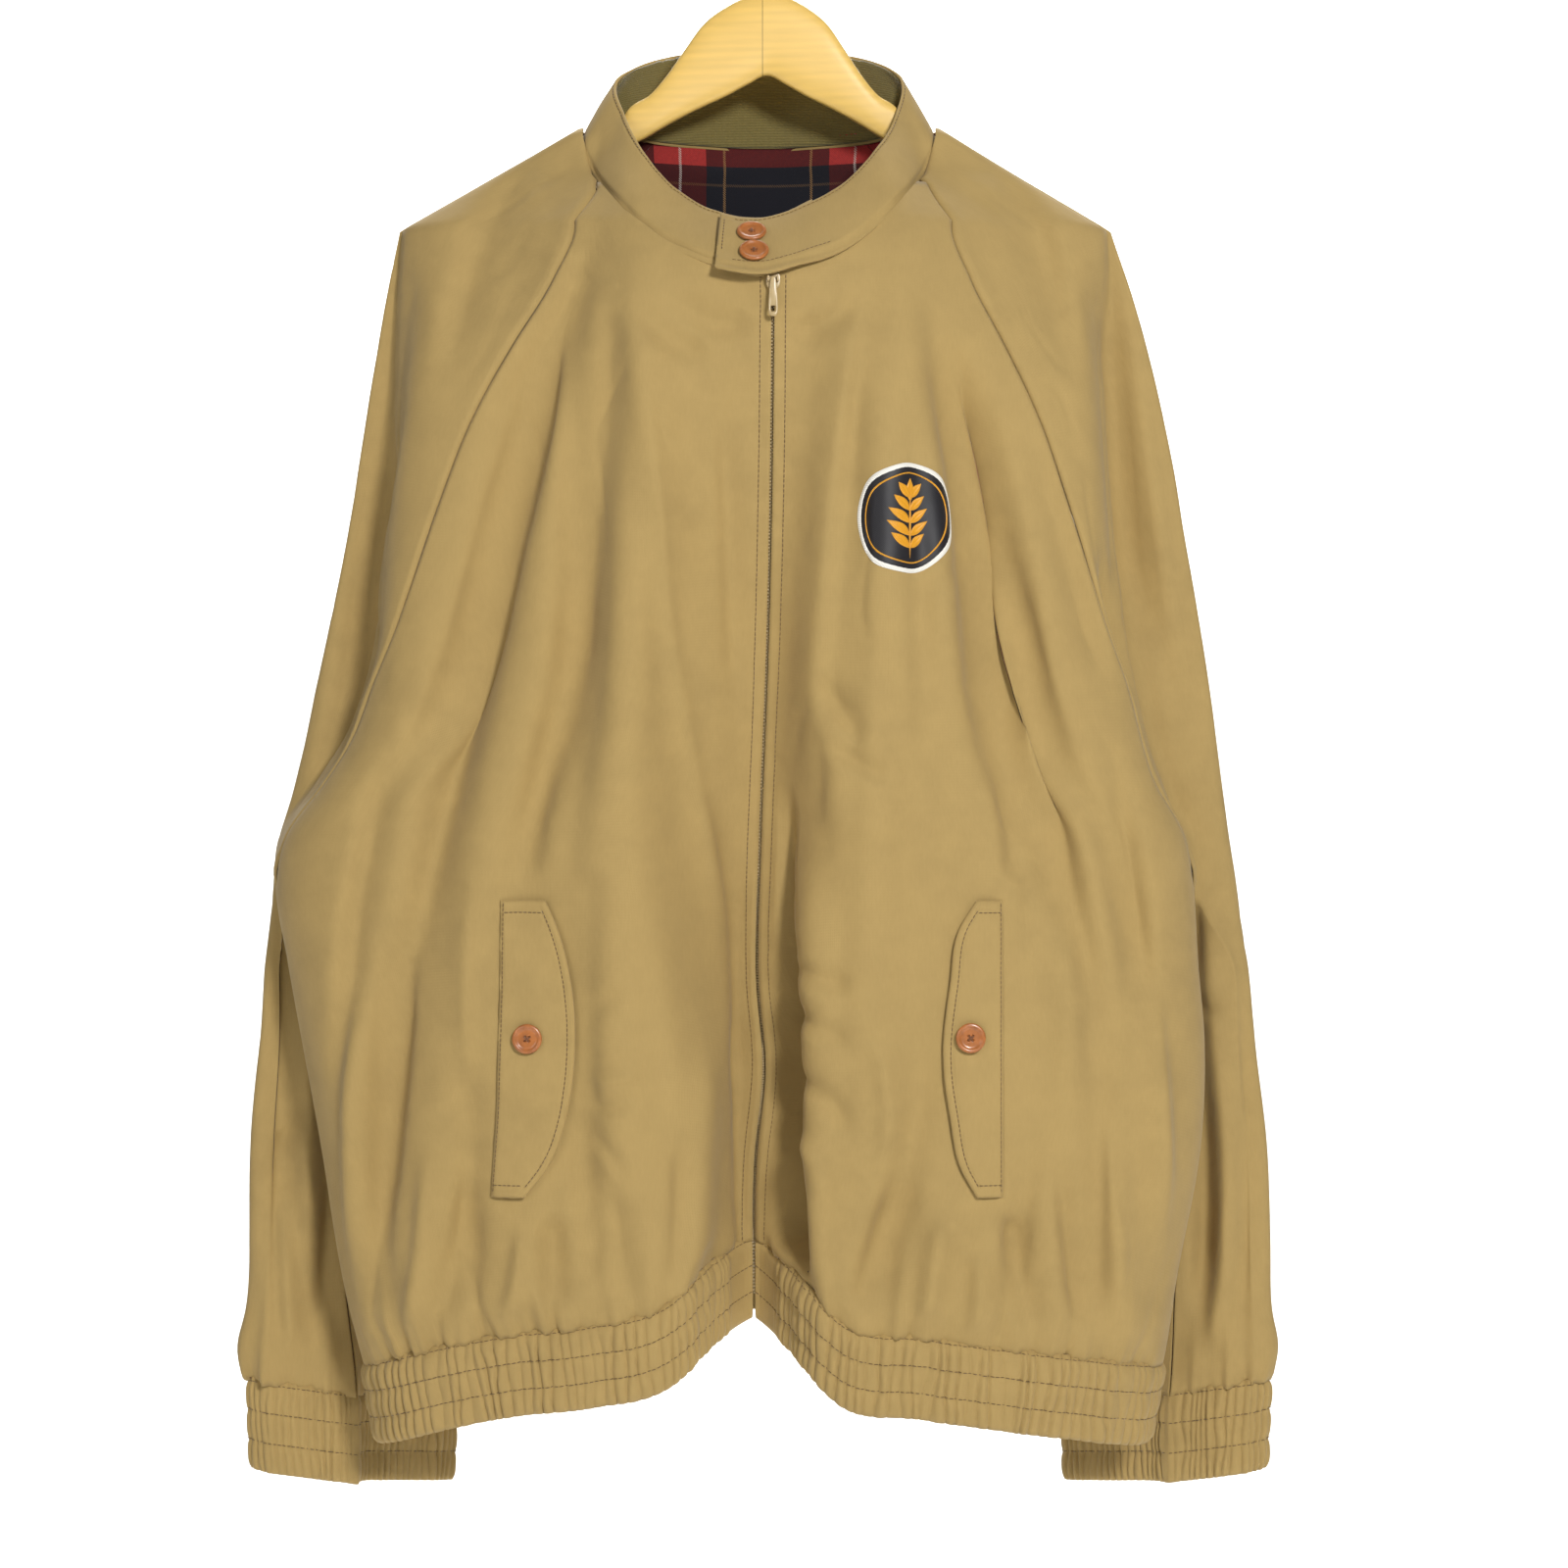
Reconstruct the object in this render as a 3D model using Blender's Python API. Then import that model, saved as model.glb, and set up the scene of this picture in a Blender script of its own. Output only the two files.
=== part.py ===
"""A harrington jacket that hangs on its wooden hanger.

The cloth is worked out in level sections, in millimetres, from the tables below: a front sheet and a back sheet
that meet at the sides, and a sleeve that hangs a little behind them. The origin is the seat inside the top of the
hanger's hook. +X is the wearer's left, +Y is the wearer's back and +Z is up.
"""

import bmesh
import bpy
import numpy as np

MM = 0.001                 # metres in a millimetre

# Driving dimensions, in millimetres
WALL = 1.5                 # cloth with its lining
SEAM = 0.3                 # space between two pieces that are sewn together
MIRROR_X = -5.0            # the jacket hangs this far to one side of its hook
NECK_Z = -157.0            # seam of the collar at the sides and the back
RIDGE_START_X = 117.0      # where the shoulder leaves the collar
CORNER_Z = -222.0          # end of the shoulder, where the sleeve begins to hang
ARMPIT_Z = -632.0          # where the underarm and side seams meet
HEM_Z = -930.0             # seam of the hem band at the sides
CUFF_SEAM_Z = -945.0       # seam of the cuff
BAND_HEIGHT = 48.0
GRIP = 0.08                # how far the hem band draws in
FLAP_LIFT = {"right": 3.0, "left": 2.3}    # outer face of a flap over its front, at the stitched edge
FACING = 1.2               # knit inside the collar
LAP_SPACE = 4.8            # how far the collar's tab stands out over its other end
TAB_END = -0.062           # how far round the tab starts, and where the end under it stops
LAP_END = 1.062
TAB_DROP = (0, -6.0, -7.0)     # the tab's end hangs lower, and the end under it stands higher
LAP_RISE = (0, 5.0, 6.0)
CUFF_HEIGHT = 55.0
CUFF_TILT = 0.18           # fall of the cuff's seam towards the body
GATHER_DEPTH = 1.6         # height of a gather's crest over its trough
FRONT_GATHERS = 21         # in each half of the front hem band
BACK_GATHERS = 46
CUFF_GATHERS = 28
BUTTON_RADIUS = 9.0
BUTTON_THICK = 2.6
PULL_LENGTH = 24.0
PULL_WIDTH = 6.5
PULL_Z = -266.0            # axis of the zip's pull
ZIP_TOP = -259.0
TAPE = 0.9
HANGER_RIGHT = 214.0       # reach of the hanger's arms
HANGER_LEFT = 201.0
HANGER_THICK = 10.0
HANGER_DROP = 5.8          # from the shoulder's ridge down to the wood
HOOK_INNER = 22.0
HOOK_ROD = 1.8
TIP_Z = -187.0             # top of the fronts, where the raglan seam leaves the neck seam
TIP_SHARE = 0.045          # width of the fronts there
NECK_SPACE = 1.5           # space between the neck's edge and the collar's seam
ZIP_SPACE = 0.8            # half the space between the fronts
NEXT_SHARE = 0.02          # how far beyond a seam its neighbour's next point is taken


def table(names, rows):
    """A table as a dictionary from a column's name to an array."""
    return dict(zip(names.split(), np.array(rows, float).T))


# Half of the hanger: distance from its middle, and its top and underside
HANGER = table("x top under", [
    (0, -72, -124),
    (13, -74.5, -130),
    (26, -81, -137),
    (41, -93, -144),
    (51, -107, -149),
    (62, -123, -155),
    (72, -135, -161),
    (88, -147, -170),
    (95, -159, -174),
    (103, -169, -180),
    (116, -174, -189),
    (150, -180, -204),
    (185, -200, -221),
    (204, -211, -231),
    (212, -216, -232)])

# The front zip's wander from the middle, by height
ZIP = table("z x", [
    (-1000, -8), (-850, -7), (-770, -2), (-700, -6), (-600, -4), (-500, 0), (-260, 4), (-150, 4)])

# Level sections: x of the fold where the front turns back, and of the jacket's outer edge, on each side
EDGES = table("z right_fold left_fold right_outer left_outer", [
    (-1015, 238, 226, 330, 318),
    (-930, 252, 247, 329, 318),
    (-880, 264, 255, 326, 317),
    (-790, 279, 271, 324, 314),
    (-730, 290, 273, 319, 307),
    (-680, 299, 269, 316, 302),
    (-632, 306, 266, 309, 296),
    (-600, 301, 262, 304, 291),
    (-570, 282, 248, 297, 287),
    (-540, 264, 239, 290, 283),
    (-500, 252, 231, 281, 277),
    (-450, 246, 226, 271, 269),
    (-400, 242, 222, 262, 260),
    (-350, 239, 219, 254, 251),
    (-300, 236, 217, 246, 240),
    (-260, 233, 216, 239, 229),
    (-222, 229, 213, 231, 216)])

# Front sheet: y at the zip, the middle, the lobe and the fold
FRONT = table("z zip middle lobe fold", [
    (-1015, -34, -96, -92, -18),
    (-930, -36, -99, -95, -20),
    (-850, -38, -98, -96, -20),
    (-700, -42, -95, -94, -20),
    (-600, -50, -93, -90, -20),
    (-500, -62, -91, -86, -18),
    (-400, -74, -88, -78, -14),
    (-350, -80, -86, -71, -11),
    (-300, -84, -84, -62, -8),
    (-260, -86, -76, -48, -5),
    (-222, -76, -60, -34, -4),
    (-200, -62, -46, -24, -3),
    (-183, -50, -32, -15, -3),
    (-156, -40, -20, -10, -3)])

# Width of the valley beside the zip, as a share of the way to the side
VALLEY = table("z right left", [
    (-930, 0.20, 0.17),
    (-700, 0.22, 0.17),
    (-590, 0.30, 0.20),
    (-480, 0.36, 0.22),
    (-300, 0.42, 0.30),
    (-156, 0.42, 0.34)])

# Back sheet: share of the way from the outer edge to the front's fold, and y at the middle, half way, the blade
# and the edge
BACK = table("z fold_share centre half blade edge", [
    (-1015, 1, 50, 42, 20, -17),
    (-930, 1, 52, 44, 22, -18.6),
    (-700, 1, 54, 44, 20, -18.6),
    (-632, 1, 55, 45, 19, -18.6),
    (-560, 1, 56, 46, 22, -16),
    (-500, 0.6, 57, 48, 27, -6),
    (-430, 0, 58, 50, 33, 2),
    (-350, 0, 56, 48, 32, 3),
    (-280, 0, 53, 42, 24, 3),
    (-222, 0, 50, 33, 14, 3),
    (-190, 0, 48, 32, 14, 3),
    (-156, 0, 46, 36, 16, 3)])

# Raglan seams: share of the way to the side, on the front and on the back, down to the underarm
RAGLAN = table("z front back", [
    (-632, 0.998, 0.998),
    (-600, 0.985, 0.950),
    (-570, 0.970, 0.900),
    (-505, 0.955, 0.830),
    (-470, 0.915, 0.800),
    (-400, 0.835, 0.750),
    (-350, 0.765, 0.700),
    (-300, 0.665, 0.640),
    (-260, 0.575, 0.600),
    (-222, 0.530, 0.560),
    (-183, 0.655, 0.620),
    (-156, 0.960, 0.680)])

# Sleeve where it hangs behind the jacket's side. Distances inward from its outer edge: the step behind the fold
# (below the underarm), the outside of the back, the inner fold behind the back and the layer in front of that.
# Distances outward from the front's fold: the step (above the underarm) and the underarm seam.
SLEEVE = table("z step_in step_out step_y outer_y rear_in rear_y fold_in fold_y under_in under_y seam_out seam_y", [
    (-945, 13, 0, -9, 3, 34, 42, 129, 70, 76, 21, 10, 4),
    (-860, 13, 0, -9, 3, 34, 43, 134, 71, 78, 21, 0, 4),
    (-740, 12, 0, -9, 2, 34, 41, 136, 71, 80, 21, -10, 3),
    (-680, 9, 1, -9, 1, 30, 37, 132, 69, 76, 21, -12, 1),
    (-650, 7, 1, -8, 1, 28, 33, 126, 66, 74, 22, -5, -4),
    (-632, 6, 3.0, -8, 1, 26, 30, 122, 62, 72, 23, 1.7, -16),
    (-570, 6, 4, -9, 1, 24, 27, 104, 53, 70, 23, 1, -19),
    (-500, 6, 5, -7, 1, 22, 22, 84, 47, 74, 31, 1, -19),
    (-465, 6, 4, -6, 1, 20, 20, 68, 46, 64, 33, 1, -19),
    (-430, 6, 4, -6, 1, 18, 18, 50, 43, 56, 35, 1, -19),
    (-350, 6, 3, -4, 0, 18, 18, 50, 43, 56, 35, 1, -19),
    (-300, 6, 2, -3, 0, 18, 18, 50, 43, 56, 35, 1, -19),
    (-222, 6, 1, -1.5, 0, 18, 18, 50, 43, 56, 35, 1, -19),
    (-156, 6, 0.5, -1.5, 0, 18, 18, 50, 43, 56, 35, 1, -19)])

# Height of the hem above the side's, by share of the way to the side
HEM_RISE = table("share right left back", [
    (0.00, 78, 78, 70),
    (0.10, 66, 60, 68),
    (0.22, 44, 33, 62),
    (0.40, 33, 26, 50),
    (0.60, 27, 18, 34),
    (0.80, 16, 10, 16),
    (1.00, 0, 0, 0)])

# Soft folds of the fronts: shares of the way to the side where a fold starts and ends, its heights, its width as
# a share, and its depth (below zero for a valley)
FOLDS = table("side top_share top_z end_share end_z width depth", [
    (-1, 0.50, -205, 0.47, -650, 0.045, -8),
    (-1, 0.55, -280, 0.84, -600, 0.045, -7),
    (-1, 0.74, -640, 0.90, -900, 0.040, -6),
    (-1, 0.36, -230, 0.30, -900, 0.050, 5),
    (-1, 0.40, -760, 0.36, -925, 0.035, -5),
    (-1, 0.62, -700, 0.66, -925, 0.035, -5),
    (1, 0.42, -240, 0.66, -640, 0.050, -9),
    (1, 0.28, -290, 0.36, -560, 0.050, 4),
    (1, 0.62, -400, 0.86, -700, 0.040, -6),
    (1, 0.36, -700, 0.30, -925, 0.040, -5),
    (1, 0.72, -700, 0.80, -925, 0.040, -6),
    (1, 0.60, -780, 0.58, -925, 0.030, -4)])

# Collar: how far round, seam's x and z, and rim's x, y and z; the first row is the front's middle
COLLAR = table("turn seam_x seam_z rim_x rim_y rim_z", [
    (0.00, 1, -259, 0, -52, -222),
    (0.06, 28, -253, 27, -50, -216),
    (0.13, 52, -240, 50, -43, -200),
    (0.20, 76, -216, 68, -30, -176),
    (0.27, 97, -187, 81, -12, -150),
    (0.34, 105, -158, 84, 10, -122),
    (0.42, 58, -157, 52, 38, -103),
    (0.50, -5, -157, -8, 46, -97),
    (0.58, -68, -157, -64, 38, -104),
    (0.66, -115, -158, -95, 10, -124),
    (0.73, -108, -187, -90, -12, -150),
    (0.80, -86, -216, -76, -32, -178),
    (0.87, -60, -238, -54, -43, -204),
    (0.94, -30, -252, -28, -50, -218),
    (1.00, 1, -259, 0, -52, -222)])

# Pocket flaps on each front: stitched edge and free edge, x by height
FLAPS = table("z right_stitched right_free left_stitched left_free", [
    (-640, 160, 132, 142, 126),
    (-656, 160, 125, 142, 116),
    (-690, 160, 116, 142, 110),
    (-730, 161, 114, 142, 106),
    (-770, 162, 120, 142, 110),
    (-800, 164, 131, 142, 116),
    (-818, 165, 145, 142, 126)])

KHAKI = (0.42, 0.34, 0.15, 1)
KNIT = (0.16, 0.125, 0.04, 1)
TARTAN = (0.02, 0.02, 0.025, 1)
WOOD = (0.78, 0.52, 0.16, 1)
STEEL = (0.62, 0.62, 0.63, 1)
BUTTON = (0.48, 0.21, 0.07, 1)
ZIP_METAL = (0.55, 0.44, 0.24, 1)


def along(x, xs, ys):
    """A smooth curve through the points (xs, ys), read at x: cubic Hermite pieces with central slopes."""
    order = np.argsort(xs)
    xs, ys = np.asarray(xs, float)[order], np.asarray(ys, float)[order]
    x = np.clip(x, xs[0], xs[-1])
    slope = np.gradient(ys, xs)
    i = np.clip(np.searchsorted(xs, x, side="right") - 1, 0, len(xs) - 2)
    h = xs[i + 1] - xs[i]
    t = (x - xs[i]) / h
    a = (1 + 2 * t) * (1 - t) ** 2 * ys[i] + t * (1 - t) ** 2 * h * slope[i]
    b = t * t * (3 - 2 * t) * ys[i + 1] - t * t * (1 - t) * h * slope[i + 1]
    return a + b


def read(columns, name, z):
    return along(z, columns["z"], columns[name])


def ease(x, start, end):
    """0 before start, 1 after end and a smooth step between."""
    t = np.clip((x - start) / (end - start), 0, 1)
    return t * t * (3 - 2 * t)


def side_name(side):
    return "left" if side > 0 else "right"


def edge_x(side, kind, z):
    """x of the fold or the outer edge; above the shoulder's end both are the ridge over the hanger."""
    low = side * read(EDGES, f"{side_name(side)}_{kind}", np.minimum(z, CORNER_Z))
    start = MIRROR_X + side * (RIDGE_START_X - 5)
    corner = side * read(EDGES, f"{side_name(side)}_{kind}", np.array(CORNER_Z))
    t = (NECK_Z - np.maximum(z, CORNER_Z)) / (NECK_Z - CORNER_Z)
    return np.where(z > CORNER_Z, start + (corner - start) * t, low)


def ramp(z):
    """How much of the hem's rise has been reached at the nominal height z."""
    return np.clip((ARMPIT_Z - z) / (ARMPIT_Z - HEM_Z), 0, None) ** 1.4


def fold_relief(side, share, z):
    """Sum of the soft folds: each is a bell across its line, faded in and out at its ends."""
    total = np.zeros(np.broadcast(share, z).shape)
    for k in np.flatnonzero(FOLDS["side"] == side):
        f = {name: column[k] for name, column in FOLDS.items()}
        t = (f["top_z"] - z) / (f["top_z"] - f["end_z"])
        line = f["top_share"] + (f["end_share"] - f["top_share"]) * np.clip(t, 0, 1)
        bell = np.exp(-(((share - line) / f["width"]) ** 2))
        total += f["depth"] * bell * ease(t, -0.02, 0.35) * (1 - ease(t, 0.8, 1.12))
    return total * (1 - ease(share, 0.86, 0.97)) * ease(share, 0.02, 0.12)


def front_point(side, share, z):
    """Front sheet: y runs from the zip over the lobe and turns back to the fold as a rounded edge."""
    share, z = np.broadcast_arrays(np.asarray(share, float), np.asarray(z, float))
    x0 = read(ZIP, "x", z)
    x = x0 + (edge_x(side, "fold", z) - x0) * share
    zip_y, middle, lobe, fold = (read(FRONT, name, z) for name in ("zip", "middle", "lobe", "fold"))
    to_middle = ease(share, 0.0, read(VALLEY, side_name(side), z))
    to_lobe = ease(share, 0.34, 0.72)
    flat = zip_y + (middle - zip_y) * to_middle + (lobe - middle) * to_lobe
    flat = flat - fold_relief(side, share, z)
    turn = np.sqrt(1 - np.clip(share, 0, 1) ** 5)
    y = fold + (flat - fold) * turn
    rise = along(share, HEM_RISE["share"], HEM_RISE[side_name(side)])
    return np.stack([x, y, z + rise * ramp(z)], -1)


def back_point(side, share, z):
    """Back sheet: y falls from the middle to the blade and turns forward to the edge."""
    share, z = np.broadcast_arrays(np.asarray(share, float), np.asarray(z, float))
    outer, fold = edge_x(side, "outer", z), edge_x(side, "fold", z)
    edge = outer + (fold - outer) * read(BACK, "fold_share", z)
    x = MIRROR_X + (edge - MIRROR_X) * share
    centre, half, blade, end = (read(BACK, name, z) for name in ("centre", "half", "blade", "edge"))
    flat = centre + (half - centre) * ease(share, 0.05, 0.5) + (blade - half) * ease(share, 0.38, 0.85)
    pleat = 3.0 * np.sin(share * 14 + side) * ease(share, 0.1, 0.3) * (1 - ease(share, 0.6, 0.8))
    power = 6 - 4.1 * ease(-z, 430, 620)
    y = end + (flat - end) * np.sqrt(1 - np.clip(share, 0, 1) ** power)
    y = y + pleat * ease(-z, 300, 700)
    rise = along(share, HEM_RISE["share"], HEM_RISE["back"])
    return np.stack([x, y, z + rise * ramp(z)], -1)


def neck_share(side, z):
    """Share at which a level section of the front starts: the neck seam above, the zip's gap below."""
    half = COLLAR["turn"] < 0.4 if side > 0 else COLLAR["turn"] > 0.6
    order = np.argsort(-COLLAR["seam_z"][half])
    seam_x = np.interp(-z - NECK_SPACE, -COLLAR["seam_z"][half][order], COLLAR["seam_x"][half][order])
    x0 = read(ZIP, "x", z)
    width = np.abs(edge_x(side, "fold", z) - x0)
    seam = (seam_x - x0) / (edge_x(side, "fold", z) - x0) + NECK_SPACE / width
    return np.where(z > ZIP_TOP, np.maximum(seam, ZIP_SPACE / width), ZIP_SPACE / width)


def raglan_share(side, z):
    """The front raglan seam, kept a little outside the neck seam at its tip."""
    return np.maximum(read(RAGLAN, "front", z), neck_share(side, z) + TIP_SHARE)


def spread(start, end, count):
    """Shares from start to end, closer together towards the rounded edge."""
    t = np.linspace(0, 1, count)
    t = (t + np.sin(t * np.pi / 2)) / 2
    return start[:, None] + (end - start)[:, None] * t


def catmull(points, steps):
    """A smooth curve through the control points of each row, with the given number of steps in each stretch."""
    ends = [2 * points[:, :1] - points[:, 1:2], points, 2 * points[:, -1:] - points[:, -2:-1]]
    p = np.concatenate(ends, 1)
    out = []
    for i, count in enumerate(steps):
        a, b, c, d = (p[:, i + k, None] for k in range(4))
        t = (np.arange(count) / count)[None, :, None]
        m0, m1 = (c - a) * 0.42, (d - b) * 0.42
        out.append((2 * t**3 - 3 * t**2 + 1) * b + (t**3 - 2 * t**2 + t) * m0
                   + (3 * t**2 - 2 * t**3) * c + (t**3 - t**2) * m1)
    return np.concatenate(out + [points[:, -1:]], 1)


def normals(grid, closed=False, before=None, after=None):
    """Unit normals of a grid of points, from the differences along its rows and its columns.

    before and after are the columns that would come next on the neighbouring pieces, so that two pieces that
    meet at a seam have walls that stand the same way there.
    """
    first = grid[:, -1:] if closed else (2 * grid[:, :1] - grid[:, 1:2] if before is None else before[:, None])
    last = grid[:, :1] if closed else (2 * grid[:, -1:] - grid[:, -2:-1] if after is None else after[:, None])
    wide = np.concatenate([first, grid, last], 1)
    along_row = wide[:, 2:] - wide[:, :-2]
    n = np.cross(along_row, np.gradient(grid, axis=0))
    return n / np.maximum(np.linalg.norm(n, axis=-1, keepdims=True), 1e-9)


def soften(n, closed):
    """Normals averaged with their neighbours in the row, so that a wall keeps its way through a tight fold."""
    sides = (n[:, -1:], n[:, :1]) if closed else (n[:, :1], n[:, -1:])
    wide = np.concatenate([sides[0], n, sides[1]], 1)
    n = wide[:, :-2] * 0.25 + wide[:, 1:-1] * 0.5 + wide[:, 2:] * 0.25
    return n / np.linalg.norm(n, axis=-1, keepdims=True)


def grid_faces(rows, columns, closed, start=0):
    """Quads of a grid of points; a closed grid joins its last column to its first."""
    i, j = np.meshgrid(np.arange(rows - 1), np.arange(columns if closed else columns - 1), indexing="ij")
    k = (j + 1) % columns
    quads = np.stack([i * columns + j, (i + 1) * columns + j, (i + 1) * columns + k, i * columns + k], -1)
    return quads.reshape(-1, 4) + start


def add_object(name, points, faces, colour, roughness=0.85, metallic=0.0):
    """A closed mesh object with its own material; the points are in millimetres.

    Quads are halved along the same diagonal everywhere, so that two layers follow each other.
    """
    halves = []
    for f in faces:
        halves += [(f[0], f[1], f[2]), (f[0], f[2], f[3])] if len(f) == 4 else [f]
    mesh = bpy.data.meshes.new(name)
    mesh.from_pydata((np.asarray(points) * MM).tolist(), [], [tuple(map(int, f)) for f in halves])
    mesh.update()
    shaped = bmesh.new()
    shaped.from_mesh(mesh)
    bmesh.ops.recalc_face_normals(shaped, faces=shaped.faces)
    if shaped.calc_volume(signed=True) < 0:
        bmesh.ops.reverse_faces(shaped, faces=shaped.faces)
    shaped.to_mesh(mesh)
    shaped.free()
    material = bpy.data.materials.new(name)
    material.use_nodes = True
    finish = material.node_tree.nodes["Principled BSDF"]
    finish.inputs["Base Color"].default_value = colour
    finish.inputs["Roughness"].default_value = roughness
    finish.inputs["Metallic"].default_value = metallic
    mesh.materials.append(material)
    body = bpy.data.objects.new(name, mesh)
    bpy.context.scene.collection.objects.link(body)
    return body


def add_sheet(name, grid, inward, colour, wall=WALL, closed=False, relief=None, before=None, after=None,
              soft=False):
    """A wall of cloth: the grid is its outer face, and the inner face lies a wall's thickness inward.

    inward is 1 or -1, the side of the grid's normals on which the inner face lies. relief moves only the outer
    face, away from the inner one.
    """
    rows, columns = grid.shape[:2]
    n = normals(grid, closed, before, after) * inward
    if soft:
        n = soften(n, closed)
    inner = grid + n * wall
    outer = grid if relief is None else grid - n * relief[..., None]
    faces = [grid_faces(rows, columns, closed)]
    faces.append(grid_faces(rows, columns, closed, rows * columns)[:, [0, 3, 2, 1]])
    for row in (0, rows - 1):
        a = np.arange(columns if closed else columns - 1) + row * columns
        b = (np.arange(len(a)) + 1) % columns + row * columns
        faces.append(np.stack([a, b, b + rows * columns, a + rows * columns], -1))
    if not closed:
        for column in (0, columns - 1):
            a = np.arange(rows - 1) * columns + column
            faces.append(np.stack([a, a + columns, a + columns * (rows + 1), a + rows * columns], -1))
    points = np.concatenate([outer.reshape(-1, 3), inner.reshape(-1, 3)])
    return add_object(name, points, np.concatenate(faces), colour)


def inset(grid, first=SEAM / 2, last=SEAM / 2):
    """The grid with its first and last columns drawn in along the rows, to leave a seam's space."""
    grid = grid.copy()
    for edge, beside, space in ((0, 1, first), (-1, -2, last)):
        way = grid[:, beside] - grid[:, edge]
        grid[:, edge] += way * (space / np.maximum(np.linalg.norm(way, axis=-1, keepdims=True), 1e-6))
    return grid


SHOULDER_ROWS = np.array([-158, -164, -172, -180.0])
SEAM_ROWS = np.array([-187, -199, -211, -222, -234, -244, -252, -258, -276, -305, -340, -375, -400, -420, -440, -462,
                      -485, -510, -540, -570, -600, -620, -632.0])
BODY_ROWS = np.array([-655, -690, -730, -775, -825, -880, -930.0])
ARM_ROWS = np.array([-641, -652, -668, -690, -730, -790, -860, -945.0])
FRONT_ROWS = np.concatenate([SEAM_ROWS, BODY_ROWS])
BACK_ROWS = np.concatenate([SHOULDER_ROWS, SEAM_ROWS, BODY_ROWS])
SLEEVE_ROWS = np.concatenate([SHOULDER_ROWS, SEAM_ROWS, ARM_ROWS])


def front_grid(side, rows=FRONT_ROWS, columns=15):
    start = neck_share(side, rows)
    end = np.where(rows < ARMPIT_Z, 1.0, raglan_share(side, rows))
    return front_point(side, spread(start, end, columns), rows[:, None])


def back_grid(rows=BACK_ROWS, columns=8):
    end = np.where(rows < ARMPIT_Z, 1.0, read(RAGLAN, "back", rows))
    right = back_point(-1, spread(end * 0, end, columns), rows[:, None])
    left = back_point(1, spread(end * 0, end, columns), rows[:, None])
    return np.concatenate([right[:, :0:-1], left], 1)


def sleeve_grid(side, rows=SLEEVE_ROWS, yoke=5, steps=(1, 2, 3, 2, 2)):
    """Sleeve: from the front raglan seam over the fold and the outer edge round to the back raglan seam."""
    z = rows[:, None]
    front_seam, back_seam = raglan_share(side, rows), read(RAGLAN, "back", rows)
    front_seam = np.where(rows > TIP_Z + 0.5, neck_share(side, np.minimum(rows, -158.5)), front_seam)
    front_seam = np.clip(front_seam, 0, 0.985)
    on_front = front_point(side, spread(front_seam, front_seam * 0 + 1, yoke), z)
    outer = edge_x(side, "outer", rows)
    free = {}
    fold_x = edge_x(side, "fold", rows)
    for name in ("rear", "fold", "under", "step", "seam"):
        x = fold_x + side * read(SLEEVE, f"{name}_out", rows) if name in ("step", "seam") else outer
        if name != "seam":
            inward = outer - side * read(SLEEVE, f"{name}_in", rows)
            x = x + (inward - x) * (ease(-rows, 632, 690) if name == "step" else 1.0)
        free[name] = np.stack([x, read(SLEEVE, f"{name}_y", rows), rows], -1)
    edge = np.stack([outer, read(SLEEVE, "outer_y", rows), rows], -1)
    hangs = ease(-rows, 370, 430)[:, None]
    on_back = {}
    for name, part in (("rear", 0.9), ("fold", 0.35), ("under", 0.18)):
        on_back[name] = back_point(side, back_seam + part * (1 - back_seam), rows)
        free[name] = on_back[name] + (free[name] - on_back[name]) * hangs
    seam = back_point(side, back_seam, rows)
    seam += np.array([side * 0.4, 1.6, 0]) * hangs
    closed = ease(-rows, 600, 632)[:, None]
    beside = free["seam"] + np.array([-side * 0.6, 0.9, 0])
    seam = seam + (beside - seam) * ease(-rows, 621, 632)[:, None]
    ring = catmull(np.stack([free["step"], edge, free["rear"], free["fold"], free["under"], seam], 1), steps)
    t = np.linspace(0, 1, yoke + 1)[None, :yoke, None]
    tucked = free["seam"][:, None] + (free["step"] - free["seam"])[:, None] * t
    on_front = on_front + (tucked - on_front) * closed[:, :, None]
    grid = np.concatenate([on_front, ring], 1)
    grid[..., 2] -= CUFF_TILT * np.abs(grid[..., 0] - outer[:, None]) * ease(-z, 740, 945)
    return grid


def along_line(line, count, start=0.0, end=0.0):
    """Points evenly spaced along a line of points, from start to end millimetres short of its ends."""
    length = np.concatenate([[0], np.cumsum(np.linalg.norm(np.diff(line, axis=0), axis=1))])
    at = np.linspace(start, length[-1] - end, count)
    return np.stack([np.interp(at, length, line[:, k]) for k in range(3)], -1)


def hang_band(line, height, grip, drop=1.3):
    """Rows below a seam line: the band draws in towards the body's middle as it goes down."""
    rows = []
    for t in (0.0, 1.0):
        row = line.copy()
        row[:, 0] += (MIRROR_X - row[:, 0]) * grip * 0.45 * t
        row[:, 1] += (-18 - row[:, 1]) * grip * t
        row[:, 2] -= drop + (height - drop) * t
        rows.append(row)
    return np.stack(rows)


def gather_relief(grid, plain_start=0, plain_end=0):
    """Crests on every second column, over a plain inner face."""
    relief = np.zeros(grid.shape[:2])
    relief[:, 1::2] = GATHER_DEPTH
    relief[:, :plain_start] = 0
    if plain_end:
        relief[:, -plain_end:] = 0
    return relief


def beyond(point, side, share, rows, step):
    """The sheet's points a little past a seam."""
    return point(side, np.minimum(share + step, 1.0), rows)


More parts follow.
